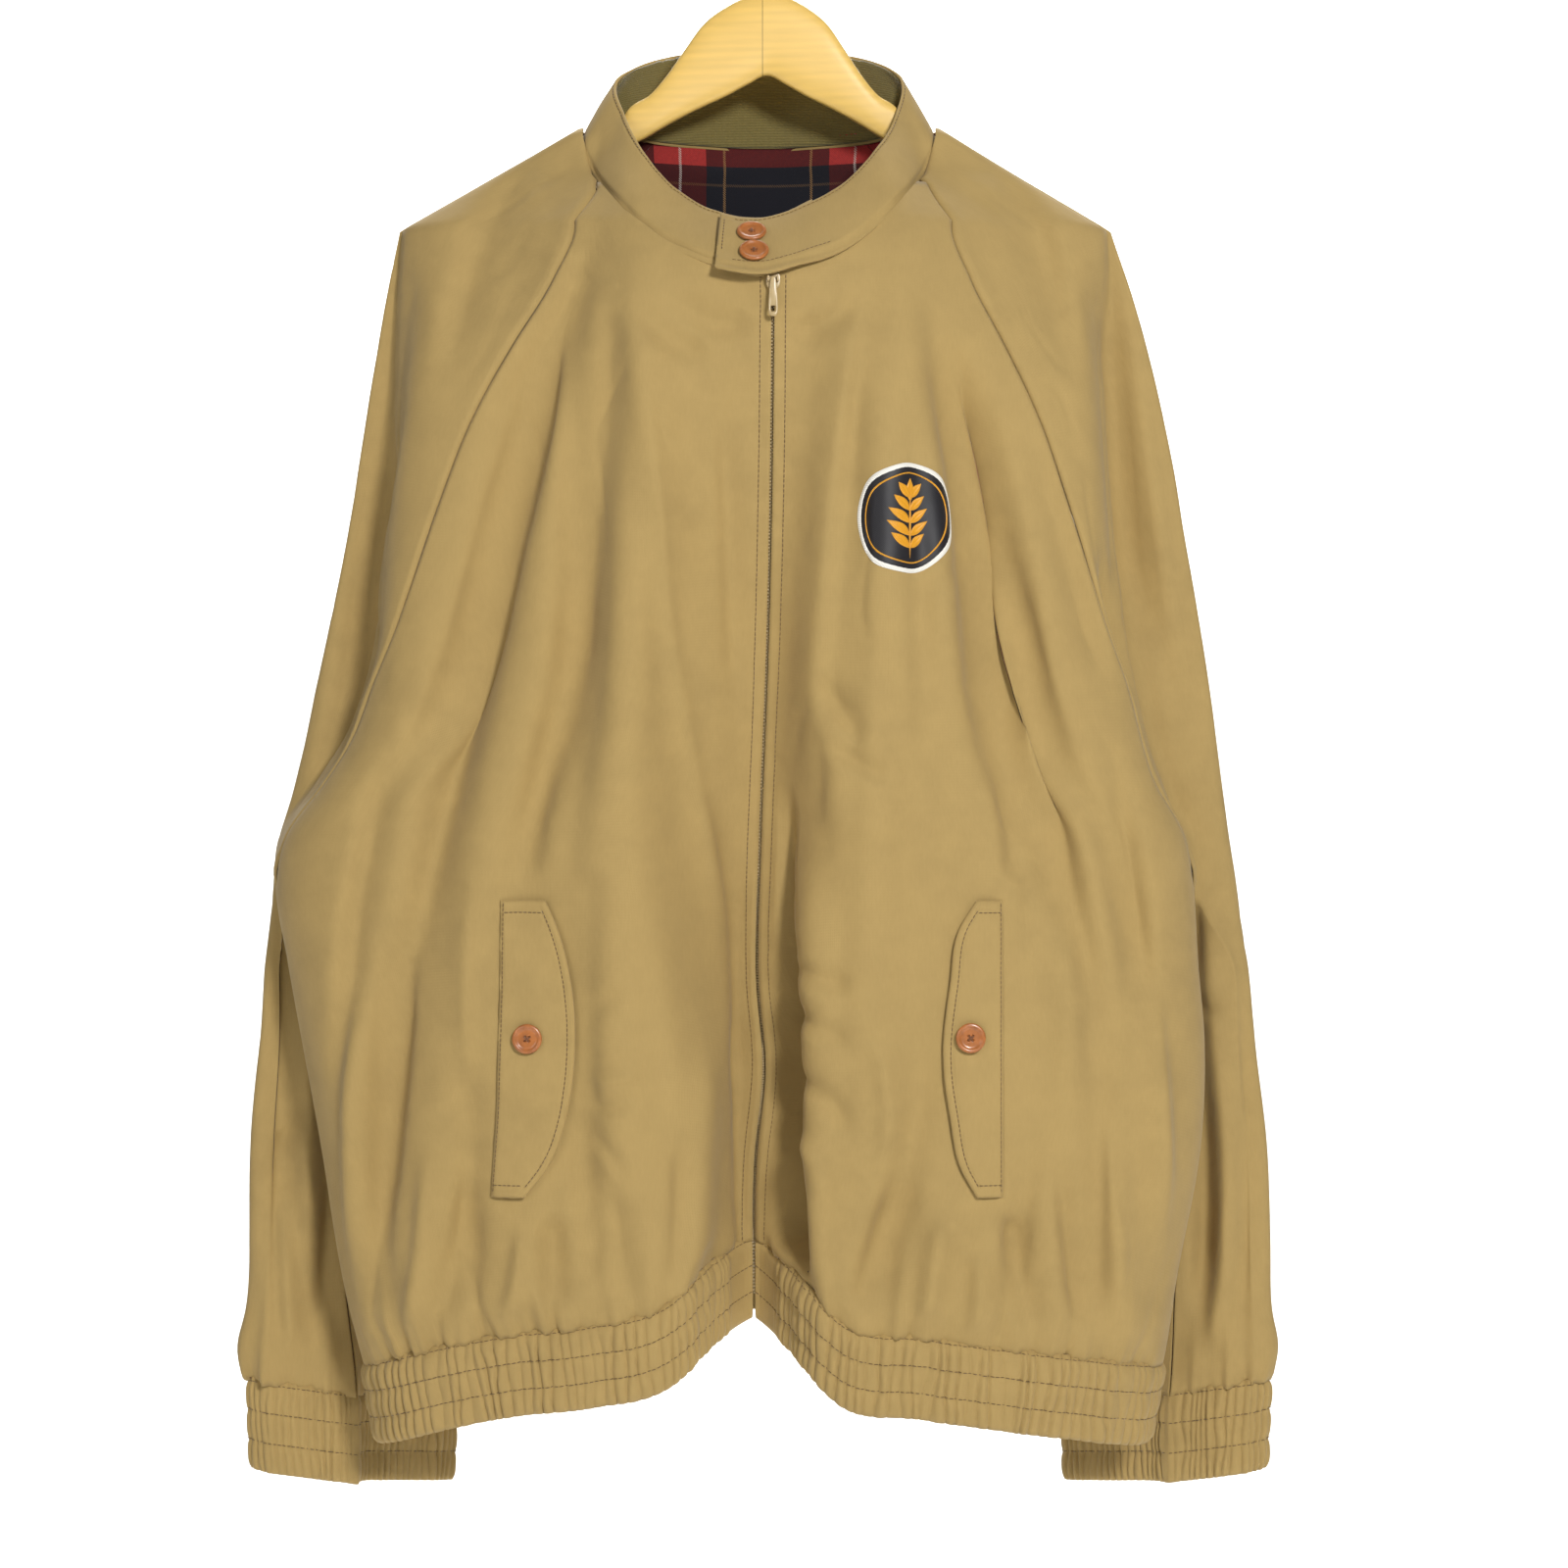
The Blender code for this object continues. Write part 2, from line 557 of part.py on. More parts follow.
def make_bodies():
    """Fronts and back; below the underarm their walls stand square across the side seam."""
    square = np.array([0, 12.0, 0])
    low = FRONT_ROWS <= ARMPIT_Z
    for side in (-1, 1):
        grid = front_grid(side)
        after = beyond(front_point, side, raglan_share(side, FRONT_ROWS), FRONT_ROWS, NEXT_SHARE)
        after[low] = grid[low, -2] + square
        add_sheet(f"front_{side_name(side)}", inset(grid), side, KHAKI, after=after)
    grid = back_grid()
    low = BACK_ROWS <= ARMPIT_Z
    before, after = (beyond(back_point, side, read(RAGLAN, "back", BACK_ROWS), BACK_ROWS, NEXT_SHARE)
                     for side in (-1, 1))
    before[low] = grid[low, 1] - square
    after[low] = grid[low, -2] - square
    add_sheet("back", inset(grid), -1, KHAKI, before=before, after=after)


def make_sleeves():
    for side in (-1, 1):
        grid = sleeve_grid(side)
        closed = ease(-SLEEVE_ROWS, 600, 632)[:, None]
        before = front_point(side, np.clip(raglan_share(side, SLEEVE_ROWS), 0, 0.985) - NEXT_SHARE, SLEEVE_ROWS)
        before += (grid[:, -2] - before) * closed
        after = back_point(side, read(RAGLAN, "back", SLEEVE_ROWS) - NEXT_SHARE, SLEEVE_ROWS)
        after += (2 * grid[:, -1] - grid[:, -2] - after) * ease(-SLEEVE_ROWS, 380, 420)[:, None]
        after += (grid[:, 1] - after) * closed
        name = f"sleeve_{side_name(side)}"
        add_sheet(name, inset(grid), side, KHAKI, before=before, after=after, soft=True)


def make_hem_band():
    for side in (-1, 1):
        line = along_line(front_grid(side)[-1], FRONT_GATHERS * 2 + 5, 0.0, 0.4)
        grid = hang_band(line, BAND_HEIGHT, GRIP)
        add_sheet(f"hem_band_{side_name(side)}", grid, side, KHAKI, relief=gather_relief(grid, 4, 1))
    line = along_line(back_grid()[-1], BACK_GATHERS * 2 + 1, 0.4, 0.4)
    grid = hang_band(line, BAND_HEIGHT, GRIP)
    add_sheet("hem_band_back", grid, -1, KHAKI, relief=gather_relief(grid, 1, 1))


def make_cuffs():
    """A cuff follows the sleeve's last section, drawn in round its middle."""
    for side in (-1, 1):
        ring = sleeve_grid(side, np.array([CUFF_SEAM_Z + 4, CUFF_SEAM_Z]), 9, (2, 4, 6, 6, 4))[-1]
        line = along_line(ring, CUFF_GATHERS * 2 + 1)[:-1]
        middle = line.mean(0)
        rows = []
        for t in (0.0, 1.0):
            draw = 1 - 0.045 - 0.03 * t
            row = line.copy()
            row[:, :2] = middle[:2] + (line[:, :2] - middle[:2]) * draw
            tilt = CUFF_TILT * np.abs(row[:, 0] - edge_x(side, "outer", np.array(CUFF_SEAM_Z)))
            row[:, 2] = CUFF_SEAM_Z - tilt - 0.4 - (CUFF_HEIGHT - 0.4) * t
            rows.append(row)
        grid = np.stack(rows)
        relief = np.zeros(grid.shape[:2])
        relief[:, 1::2] = GATHER_DEPTH
        add_sheet(f"cuff_{side_name(side)}", grid, side, KHAKI, closed=True, relief=relief)


def collar_point(turn, height):
    """Collar: a straight blend from the neck seam up to the rim, a little bowed."""
    turn, height = np.broadcast_arrays(np.asarray(turn, float), np.asarray(height, float))
    wrapped = turn % 1.0
    cyclic = {name: np.concatenate([c[-4:-1], c, c[1:4]]) for name, c in COLLAR.items()}
    cyclic["turn"] = np.concatenate([COLLAR["turn"][-4:-1] - 1, COLLAR["turn"], COLLAR["turn"][1:4] + 1])
    got = {name: along(wrapped, cyclic["turn"], cyclic[name]) for name in COLLAR if name != "turn"}
    seam_y = neck_y(wrapped, got["seam_x"], got["seam_z"])
    seam = np.stack([got["seam_x"], seam_y, got["seam_z"]], -1)
    rim = np.stack([got["rim_x"], got["rim_y"], got["rim_z"]], -1)
    bow = np.sin(np.pi * height)[..., None] * np.array([0, 0, 1.5])
    return seam + (rim - seam) * height[..., None] + bow


def neck_y(turn, x, z):
    """y of the cloth under the neck seam, taken from the front or the back sheet where the seam lies on it."""
    side = np.where(x < MIRROR_X, -1, 1)
    y = np.zeros(np.shape(x))
    for s in (-1, 1):
        x0 = read(ZIP, "x", z)
        front = front_point(s, np.clip((x - x0) / (edge_x(s, "fold", z) - x0), 0, 1), z)[..., 1]
        back_edge = edge_x(s, "outer", np.maximum(z, -175))
        back = back_point(s, np.clip((x - MIRROR_X) / (back_edge - MIRROR_X), 0, 1), np.maximum(z, -175))[..., 1]
        behind = 1 - ease(-z, 158, 176)
        y = np.where(side == s, front + (back - front) * behind * ease(np.abs(turn - 0.5), 0.22, 0.13), y)
    return y


def collar_shell(turn, height):
    """The collar's outer face: its start is the tab, which stands out over its end and hangs a little lower."""
    turn, height = np.broadcast_arrays(np.asarray(turn, float), np.asarray(height, float))
    base = collar_point(turn, height)
    ahead, behind = collar_point(turn + 0.01, height), collar_point(turn - 0.01, height)
    n = np.cross(ahead - behind, base - collar_point(turn, height + 0.1))
    n /= np.linalg.norm(n, axis=-1, keepdims=True)
    lapped = (1 - ease(turn, 0.06, 0.28))[..., None]
    dropped = (1 - ease(turn, TAB_END, 0.06))[..., None] * np.array(TAB_DROP)
    raised = ease(turn, 0.98, LAP_END)[..., None] * np.array(LAP_RISE)
    return base - n * LAP_SPACE * lapped + dropped + raised


def make_collar():
    """The collar goes once round the neck and its start laps over its end; the knit facing lines it."""
    turn = np.linspace(TAB_END, LAP_END, 35)
    height = np.array([1.0, 0.7, 0.36, 0.055])
    shell = collar_shell(turn[None, :], height[:, None])
    add_sheet("collar", shell, 1, KHAKI)
    facing = shell + normals(shell) * (WALL + 2 * SEAM)
    facing[-1] += (facing[-2] - facing[-1]) * 0.06
    facing[0] += (facing[1] - facing[0]) * 0.03
    add_sheet("collar_facing", facing[:, 1:-1], 1, KNIT, wall=FACING)


def make_lining():
    """The checked lining, where it shows on the back inside the neck."""
    rows = np.array([-166, -190, -220, -260, -300, -330.0])
    share = np.linspace(-0.5, 0.5, 13)[None, :] * np.ones((6, 1))
    grid = np.where((share < 0)[..., None], back_point(-1, -share, rows[:, None]), back_point(1, share, rows[:, None]))
    grid[..., 1] -= WALL + 1.3
    add_sheet("lining_back", grid, -1, TARTAN, wall=1.0)


def on_front(side, x, z, out):
    """Points of a front panel at x and height z, moved out of its face."""
    x0 = read(ZIP, "x", z)
    share = (x - x0) / (edge_x(side, "fold", z) - x0)
    p, q, r = (front_point(side, share + ds, z + dz) for ds, dz in ((0, 0), (0.01, 0), (0, 2)))
    n = np.cross(q - p, r - p)
    n = n / np.linalg.norm(n, axis=-1, keepdims=True)
    n = n * -np.sign(n[..., 1:2])
    return p + n * np.asarray(out)[..., None]


def make_flaps():
    for side in (-1, 1):
        name = side_name(side)
        z = np.linspace(FLAPS["z"][0], FLAPS["z"][-1], 13)
        stitched = side * read(FLAPS, f"{name}_stitched", z)
        free = side * read(FLAPS, f"{name}_free", z)
        t = np.linspace(0, 1, 5)
        x = stitched[:, None] + (free - stitched)[:, None] * t
        lift = FLAP_LIFT[name] + 1.6 * np.sin(np.pi * t / 2)[None, :] * np.ones((13, 1))
        grid = on_front(side, x, z[:, None] * np.ones((1, 5)), lift)
        add_sheet(f"pocket_flap_{name}", grid, -side, KHAKI, wall=1.8)


def turned(name, profile, centre, axis, colour, segments=16, roughness=0.4):
    """A round solid: a profile of (distance along the axis, radius) turned round the axis at centre."""
    axis = np.asarray(axis, float) / np.linalg.norm(axis)
    side = np.cross(axis, [0, 0, 1.0])
    side /= np.linalg.norm(side)
    up = np.cross(side, axis)
    angle = np.linspace(0, 2 * np.pi, segments, endpoint=False)
    ring = np.cos(angle)[:, None] * side + np.sin(angle)[:, None] * up
    points = [np.asarray(centre) + axis * profile[0][0]]
    points += [p for d, r in profile[1:-1] for p in np.asarray(centre) + axis * d + ring * r]
    points.append(np.asarray(centre) + axis * profile[-1][0])
    count = len(profile) - 2
    faces = [tuple(f) for f in grid_faces(count, segments, True, 1)]
    last = 1 + count * segments
    for j in range(segments):
        k = (j + 1) % segments
        faces.append((0, 1 + j, 1 + k))
        faces.append((last, last - segments + k, last - segments + j))
    return add_object(name, points, faces, colour, roughness)


BUTTON_PROFILE = [
    (0, 0), (0, BUTTON_RADIUS - 1.2), (0.7, BUTTON_RADIUS), (BUTTON_THICK - 0.5, BUTTON_RADIUS),
    (BUTTON_THICK, BUTTON_RADIUS - 0.8), (BUTTON_THICK, BUTTON_RADIUS - 1.8),
    (BUTTON_THICK - 0.9, BUTTON_RADIUS - 3.0), (BUTTON_THICK - 0.9, 0)]


def make_buttons():
    for side, x, z, out in ((-1, -143, -729, 4.9), (1, 122, -727, 5.0)):
        seat = on_front(side, np.array(float(x)), np.array(float(z)), np.array(out))
        above = on_front(side, np.array(float(x)), np.array(float(z)), np.array(out + 1))
        turned(f"pocket_button_{side_name(side)}", BUTTON_PROFILE, seat, above - seat, BUTTON)
    for name, turn, height in (("tab_button_upper", -0.020, 0.62), ("tab_button_lower", -0.017, 0.26)):
        p, q, r = (collar_shell(turn + a, height + b) for a, b in ((0, 0), (0.01, 0), (0, 0.1)))
        n = np.cross(q - p, r - p)
        n = n / np.linalg.norm(n)
        n = n * -np.sign(n[1])
        turned(name, BUTTON_PROFILE, p + n * 0.6, n, BUTTON)


def strip_behind(grid, inward, widths, space):
    """Columns behind a panel's first two columns, at the given distances from its edge."""
    n = normals(grid) * inward
    way = grid[:, 1] - grid[:, 0]
    t = np.asarray(widths)[None, :, None] / np.linalg.norm(way, axis=-1)[:, None, None]
    return grid[:, :1] + way[:, None] * t + (n[:, :1] + (n[:, 1:2] - n[:, :1]) * t) * space


def make_zip():
    """Two tapes behind the fronts' edges, the slider at the top and its pull, which hangs between two ears."""
    for side in (-1, 1):
        grid = front_grid(side)[FRONT_ROWS <= ZIP_TOP]
        band = hang_band(grid[-1], BAND_HEIGHT, GRIP)[1:]
        grid = np.concatenate([grid, band])
        tape = strip_behind(grid, side, (0.4, 4.0, 8.0), WALL + 0.8)
        add_sheet(f"zip_tape_{side_name(side)}", tape[1:], side, TARTAN, wall=TAPE)
    face = front_point(1, np.array(0.02), np.array(ZIP_TOP - 8))
    x, y = float(read(ZIP, "x", ZIP_TOP)), float(face[1]) + 0.1
    slider = add_box("zip_slider", (x, y - 1.9, PULL_Z - 1), (8, 3.8, 10), ZIP_METAL, 0.45, 0.8)
    for side in (-1, 1):
        ear = add_box("ear", (x + side * 2.9, y - 5.2, PULL_Z), (1.2, 3.4, 3.6), ZIP_METAL, 0.45, 0.8)
        join(slider, ear)
    pull = add_box("zip_pull", (x, y - 5.3, PULL_Z - PULL_LENGTH / 2 + 1.2), (3.8, 1.6, PULL_LENGTH), ZIP_METAL)
    for corner in pull.data.vertices:
        if corner.co.z < (PULL_Z - PULL_LENGTH / 2) * MM:
            corner.co.x = (x + np.sign(corner.co.x / MM - x) * PULL_WIDTH / 2) * MM
    hole = add_box("hole", (x, y - 5.3, PULL_Z - PULL_LENGTH + 5.5), (3.2, 6, 3.6), ZIP_METAL)
    join(pull, hole, "DIFFERENCE")
    finish_pivot(pull, (x, y - 5.3, PULL_Z))


def add_box(name, centre, size, colour, roughness=0.45, metallic=0.7):
    corners = np.array([(i, j, k) for i in (-0.5, 0.5) for j in (-0.5, 0.5) for k in (-0.5, 0.5)])
    points = np.asarray(centre) + corners * np.asarray(size)
    faces = [(0, 1, 3, 2), (4, 6, 7, 5), (0, 4, 5, 1), (2, 3, 7, 6), (0, 2, 6, 4), (1, 5, 7, 3)]
    return add_object(name, points, faces, colour, roughness, metallic)


def join(body, tool, operation="UNION"):
    """Applies a Boolean with the tool, and removes the tool."""
    cut = body.modifiers.new("join", "BOOLEAN")
    cut.operation = operation
    cut.object = tool
    shaped = body.evaluated_get(bpy.context.evaluated_depsgraph_get())
    mesh = bpy.data.meshes.new_from_object(shaped)
    body.modifiers.clear()
    body.data = mesh
    bpy.data.objects.remove(tool, do_unlink=True)


def finish_pivot(body, pivot):
    """Puts the object's origin on its joint's axis."""
    pivot = np.asarray(pivot) * MM
    for corner in body.data.vertices:
        corner.co -= type(corner.co)(pivot)
    body.location = pivot


def ridge_z(x):
    """Height of the shoulder's fold over the hanger."""
    side = np.where(x < MIRROR_X, -1, 1)
    corner = np.where(side > 0, edge_x(1, "fold", np.array(CORNER_Z)), edge_x(-1, "fold", np.array(CORNER_Z)))
    start = MIRROR_X + side * (RIDGE_START_X - 5)
    return NECK_Z + (CORNER_Z - NECK_Z) * (x - start) / (corner - start)


def make_hanger():
    """A flat wooden hanger with rounded edges, under the shoulders' ridge, and a bent steel hook."""
    reach = (HANGER["x"] / HANGER["x"].max())
    ends = np.concatenate([-HANGER_RIGHT * reach[:0:-1], HANGER_LEFT * reach])
    top = np.concatenate([HANGER["top"][:0:-1], HANGER["top"]])
    top = np.where(np.abs(ends) > 118, ridge_z(ends) - HANGER_DROP, top)
    under = np.concatenate([HANGER["under"][:0:-1], HANGER["under"]])
    angle = np.linspace(0, 2 * np.pi, 10, endpoint=False) + np.pi / 10
    across, up = np.cos(angle), np.sin(angle)
    square = (np.abs(across) ** 3 + np.abs(up) ** 3) ** (-1 / 3)
    half = HANGER_THICK / 2
    middle, tall = (top + under) / 2, (top - under) / 2
    grid = np.stack([
        np.broadcast_to(ends[:, None], (len(ends), 10)),
        np.broadcast_to(across * square * half, (len(ends), 10)),
        middle[:, None] + up * square * tall[:, None]], -1)
    points = grid.reshape(-1, 3)
    faces = [tuple(f) for f in grid_faces(len(ends), 10, True)]
    faces += [tuple(range(10)), tuple(range((len(ends) - 1) * 10, len(ends) * 10))[::-1]]
    add_object("hanger_body", points, faces, WOOD, 0.35)
    turn = np.radians(np.concatenate([[-52], np.arange(-35, 206, 15)]))
    radius = HOOK_INNER + HOOK_ROD
    bend = np.stack([radius * np.cos(turn), -HOOK_INNER + radius * np.sin(turn)], -1)
    stem = np.array([(0, top.max() + 0.3), (0, -62), (1.5, -55), (7, -47.5)])
    path = np.concatenate([stem, bend])
    way = np.gradient(path, axis=0)
    way /= np.linalg.norm(way, axis=1, keepdims=True)
    angle = np.linspace(0, 2 * np.pi, 8, endpoint=False)
    flat = np.cos(angle)[None, :] * HOOK_ROD
    way[0] = (0, 1)
    grid = np.stack([
        path[:, :1] + way[:, 1:] * flat,
        np.broadcast_to(np.sin(angle) * HOOK_ROD, (len(path), 8)),
        path[:, 1:] - way[:, :1] * flat], -1)
    faces = [tuple(f) for f in grid_faces(len(path), 8, True)]
    faces += [tuple(range(8)), tuple(range((len(path) - 1) * 8, len(path) * 8))[::-1]]
    add_object("hanger_hook", grid.reshape(-1, 3), faces, STEEL, 0.25, 1.0)


def main():
    for old in list(bpy.data.objects):
        bpy.data.objects.remove(old, do_unlink=True)
    make_bodies()
    make_sleeves()
    make_hem_band()
    make_cuffs()
    make_collar()
    make_lining()
    make_flaps()
    make_buttons()
    make_zip()
    make_hanger()


main()
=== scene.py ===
"""Looks of a harrington jacket that hangs on its wooden hanger.

Every surface is a function of two parameters on a grid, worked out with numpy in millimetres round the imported
frame: level sections give the soft form, and creases, gathers and crumple are added along the surface's own
normals. The origin is the seat in the hanger's hook, +X is the wearer's left, +Y the wearer's back and +Z
is up. """

import bmesh
import bpy
import numpy as np
from bpy.props import FloatProperty, FloatVectorProperty, PointerProperty
from bpy.types import Operator, Panel, PropertyGroup
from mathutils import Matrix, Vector


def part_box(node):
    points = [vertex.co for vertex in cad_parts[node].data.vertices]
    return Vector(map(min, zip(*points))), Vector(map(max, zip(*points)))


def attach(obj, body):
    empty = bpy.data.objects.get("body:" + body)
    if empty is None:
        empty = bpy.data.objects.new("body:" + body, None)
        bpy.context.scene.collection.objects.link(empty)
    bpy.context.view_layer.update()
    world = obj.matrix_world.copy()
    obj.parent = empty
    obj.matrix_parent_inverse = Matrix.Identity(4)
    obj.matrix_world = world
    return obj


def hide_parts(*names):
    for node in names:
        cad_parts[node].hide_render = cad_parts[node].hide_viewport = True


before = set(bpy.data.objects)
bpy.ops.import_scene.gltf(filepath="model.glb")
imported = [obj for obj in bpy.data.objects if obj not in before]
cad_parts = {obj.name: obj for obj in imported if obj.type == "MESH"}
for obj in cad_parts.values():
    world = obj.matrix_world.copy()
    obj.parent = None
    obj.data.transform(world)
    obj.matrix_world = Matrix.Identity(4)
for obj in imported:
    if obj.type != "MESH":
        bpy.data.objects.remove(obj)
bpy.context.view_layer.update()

bl_info = {
    "name": "Harrington jacket",
    "version": (1, 0, 0),
    "blender": (4, 5, 0),
    "location": "3D View > Sidebar > Jacket",
    "description": "Dresses the jacket's frame with cloth, knit, thread, buttons, zip and hanger",
    "category": "Object",
}

MM = 0.001                 # metres in a millimetre

# Driving dimensions, in millimetres
WALL = 1.5                 # cloth with its lining
SEAM = 0.3                 # space between two pieces that are sewn together
MIRROR_X = -5.0            # the jacket hangs this far to one side of its hook
NECK_Z = -157.0            # seam of the collar at the sides and the back
RIDGE_START_X = 117.0      # where the shoulder leaves the collar
CORNER_Z = -222.0          # end of the shoulder, where the sleeve begins to hang
ARMPIT_Z = -632.0          # where the underarm and side seams meet
HEM_Z = -930.0             # seam of the hem band at the sides
CUFF_SEAM_Z = -945.0       # seam of the cuff
BAND_HEIGHT = 48.0
GRIP = 0.08                # how far the hem band draws in
FLAP_LIFT = {"right": 3.0, "left": 2.3}    # outer face of a flap over its front, at the stitched edge
LAP_SPACE = 4.8            # how far the collar's tab stands out over its other end
TAB_END = -0.062           # how far round the tab starts, and where the end under it stops
LAP_END = 1.062
TAB_DROP = (0, -6.0, -7.0)     # the tab's end hangs lower, and the end under it stands higher
LAP_RISE = (0, 5.0, 6.0)
CUFF_HEIGHT = 55.0
CUFF_TILT = 0.18           # fall of the cuff's seam towards the body
FRONT_GATHERS = 21         # in each half of the front hem band
BACK_GATHERS = 46
CUFF_GATHERS = 28
PULL_WIDTH = 6.5
PULL_Z = -266.0            # axis of the zip's pull
ZIP_TOP = -259.0
HANGER_RIGHT = 214.0       # reach of the hanger's arms
HANGER_LEFT = 201.0
HANGER_THICK = 10.0
HANGER_DROP = 5.8          # from the shoulder's ridge down to the wood
HOOK_INNER = 22.0
HOOK_ROD = 1.8
TIP_Z = -196.0             # top of the fronts, where the raglan seam leaves the neck seam
TIP_SHARE = 0.02           # width of the fronts there
NECK_SPACE = 1.5           # space between the neck's edge and the collar's seam
ZIP_SPACE = 0.8            # half the space between the fronts


def table(names, rows):
    """A table as a dictionary from a column's name to an array."""
    return dict(zip(names.split(), np.array(rows, float).T))


# Half of the hanger: distance from its middle, and its top and underside
HANGER = table("x top under", [
    (0, -72, -124),
    (13, -74.5, -130),
    (26, -81, -137),
    (41, -93, -144),
    (51, -107, -149),
    (62, -123, -155),
    (72, -135, -161),
    (88, -147, -170),
    (95, -159, -174),
    (103, -169, -180),
    (116, -174, -189),
    (150, -180, -204),
    (185, -200, -221),
    (204, -211, -231),
    (212, -216, -232)])

# The front zip's wander from the middle, by height
ZIP = table("z x", [
    (-1000, -8), (-850, -7), (-770, -2), (-700, -6), (-600, -4), (-500, 0), (-260, 4), (-150, 4)])

# Level sections: x of the fold where the front turns back, and of the jacket's outer edge, on each side
EDGES = table("z right_fold left_fold right_outer left_outer", [
    (-1015, 238, 226, 330, 318),
    (-930, 252, 247, 329, 318),
    (-880, 264, 255, 326, 317),
    (-790, 279, 271, 324, 314),
    (-730, 290, 273, 319, 307),
    (-680, 299, 269, 316, 302),
    (-632, 306, 266, 309, 296),
    (-600, 301, 262, 304, 291),
    (-570, 282, 248, 297, 287),
    (-540, 264, 239, 290, 283),
    (-500, 252, 231, 281, 277),
    (-450, 246, 226, 271, 269),
    (-400, 242, 222, 262, 260),
    (-350, 239, 219, 254, 251),
    (-300, 236, 217, 246, 240),
    (-260, 233, 216, 239, 229),
    (-222, 229, 213, 231, 216)])

# Front sheet: y at the zip, the middle, the lobe and the fold
FRONT = table("z zip middle lobe fold", [
    (-1015, -34, -96, -92, -18),
    (-930, -36, -99, -95, -20),
    (-850, -38, -98, -96, -20),
    (-700, -42, -95, -94, -20),
    (-600, -50, -93, -90, -20),
    (-500, -62, -91, -86, -18),
    (-400, -74, -88, -78, -14),
    (-350, -80, -86, -71, -11),
    (-300, -84, -84, -62, -8),
    (-260, -86, -76, -48, -5),
    (-222, -76, -60, -34, -4),
    (-200, -62, -46, -24, -3),
    (-183, -50, -32, -15, -3),
    (-156, -40, -20, -10, -3)])

# Width of the valley beside the zip, as a share of the way to the side
VALLEY = table("z right left", [
    (-930, 0.20, 0.17),
    (-700, 0.22, 0.17),
    (-590, 0.30, 0.20),
    (-480, 0.36, 0.22),
    (-300, 0.42, 0.30),
    (-156, 0.42, 0.34)])

# Back sheet: share of the way from the outer edge to the front's fold, and y at the middle, half way, the
# blade and the edge
BACK = table("z fold_share centre half blade edge", [
    (-1015, 1, 50, 42, 20, -17),
    (-930, 1, 52, 44, 22, -18.6),
    (-700, 1, 54, 44, 20, -18.6),
    (-632, 1, 55, 45, 19, -18.6),
    (-560, 1, 56, 46, 22, -16),
    (-500, 0.6, 57, 48, 27, -6),
    (-430, 0, 58, 50, 33, 2),
    (-350, 0, 56, 48, 32, 3),
    (-280, 0, 53, 42, 24, 3),
    (-222, 0, 50, 33, 14, 3),
    (-190, 0, 48, 32, 14, 3),
    (-156, 0, 46, 36, 16, 3)])

# Raglan seams: share of the way to the side, on the front and on the back, down to the underarm
RAGLAN = table("z front back", [
    (-632, 0.998, 0.998),
    (-600, 0.985, 0.950),
    (-570, 0.970, 0.900),
    (-505, 0.955, 0.830),
    (-470, 0.915, 0.800),
    (-400, 0.835, 0.750),
    (-350, 0.765, 0.700),
    (-300, 0.665, 0.640),
    (-260, 0.575, 0.600),
    (-222, 0.530, 0.560),
    (-183, 0.655, 0.620),
    (-156, 0.960, 0.680)])

# Sleeve where it hangs behind the jacket's side. Distances inward from its outer edge: the step behind the
# fold (below the underarm), the outside of the back, the inner fold behind the back and the layer in front
# of that. Distances outward from the front's fold: the step (above the underarm) and the underarm seam.
SLEEVE_COLUMNS = ("z step_in step_out step_y outer_y rear_in rear_y fold_in fold_y "
                  "under_in under_y seam_out seam_y")
SLEEVE = table(SLEEVE_COLUMNS, [
    (-945, 13, 0, -9, 3, 34, 42, 129, 70, 76, 21, 10, 4),
    (-860, 13, 0, -9, 3, 34, 43, 134, 71, 78, 21, 0, 4),
    (-740, 12, 0, -9, 2, 34, 41, 136, 71, 80, 21, -10, 3),
    (-680, 9, 1, -9, 1, 30, 37, 132, 69, 76, 21, -12, 1),
    (-650, 7, 1, -8, 1, 28, 33, 126, 66, 74, 22, -5, -4),
    (-632, 6, 3.0, -8, 1, 26, 30, 122, 62, 72, 23, 1.7, -16),
    (-570, 6, 4, -9, 1, 24, 27, 104, 53, 70, 23, 1, -19),
    (-500, 6, 5, -7, 1, 22, 22, 84, 47, 74, 31, 1, -19),
    (-465, 6, 4, -6, 1, 20, 20, 68, 46, 64, 33, 1, -19),
    (-430, 6, 4, -6, 1, 18, 18, 50, 43, 56, 35, 1, -19),
    (-350, 6, 3, -4, 0, 18, 18, 50, 43, 56, 35, 1, -19),
    (-300, 6, 2, -3, 0, 18, 18, 50, 43, 56, 35, 1, -19),
    (-222, 6, 1, -1.5, 0, 18, 18, 50, 43, 56, 35, 1, -19),
    (-156, 6, 0.5, -1.5, 0, 18, 18, 50, 43, 56, 35, 1, -19)])

# Height of the hem above the side's, by share of the way to the side
HEM_RISE = table("share right left back", [
    (0.00, 78, 78, 70),
    (0.10, 66, 60, 68),
    (0.22, 44, 33, 62),
    (0.40, 33, 26, 50),
    (0.60, 27, 18, 34),
    (0.80, 16, 10, 16),
    (1.00, 0, 0, 0)])

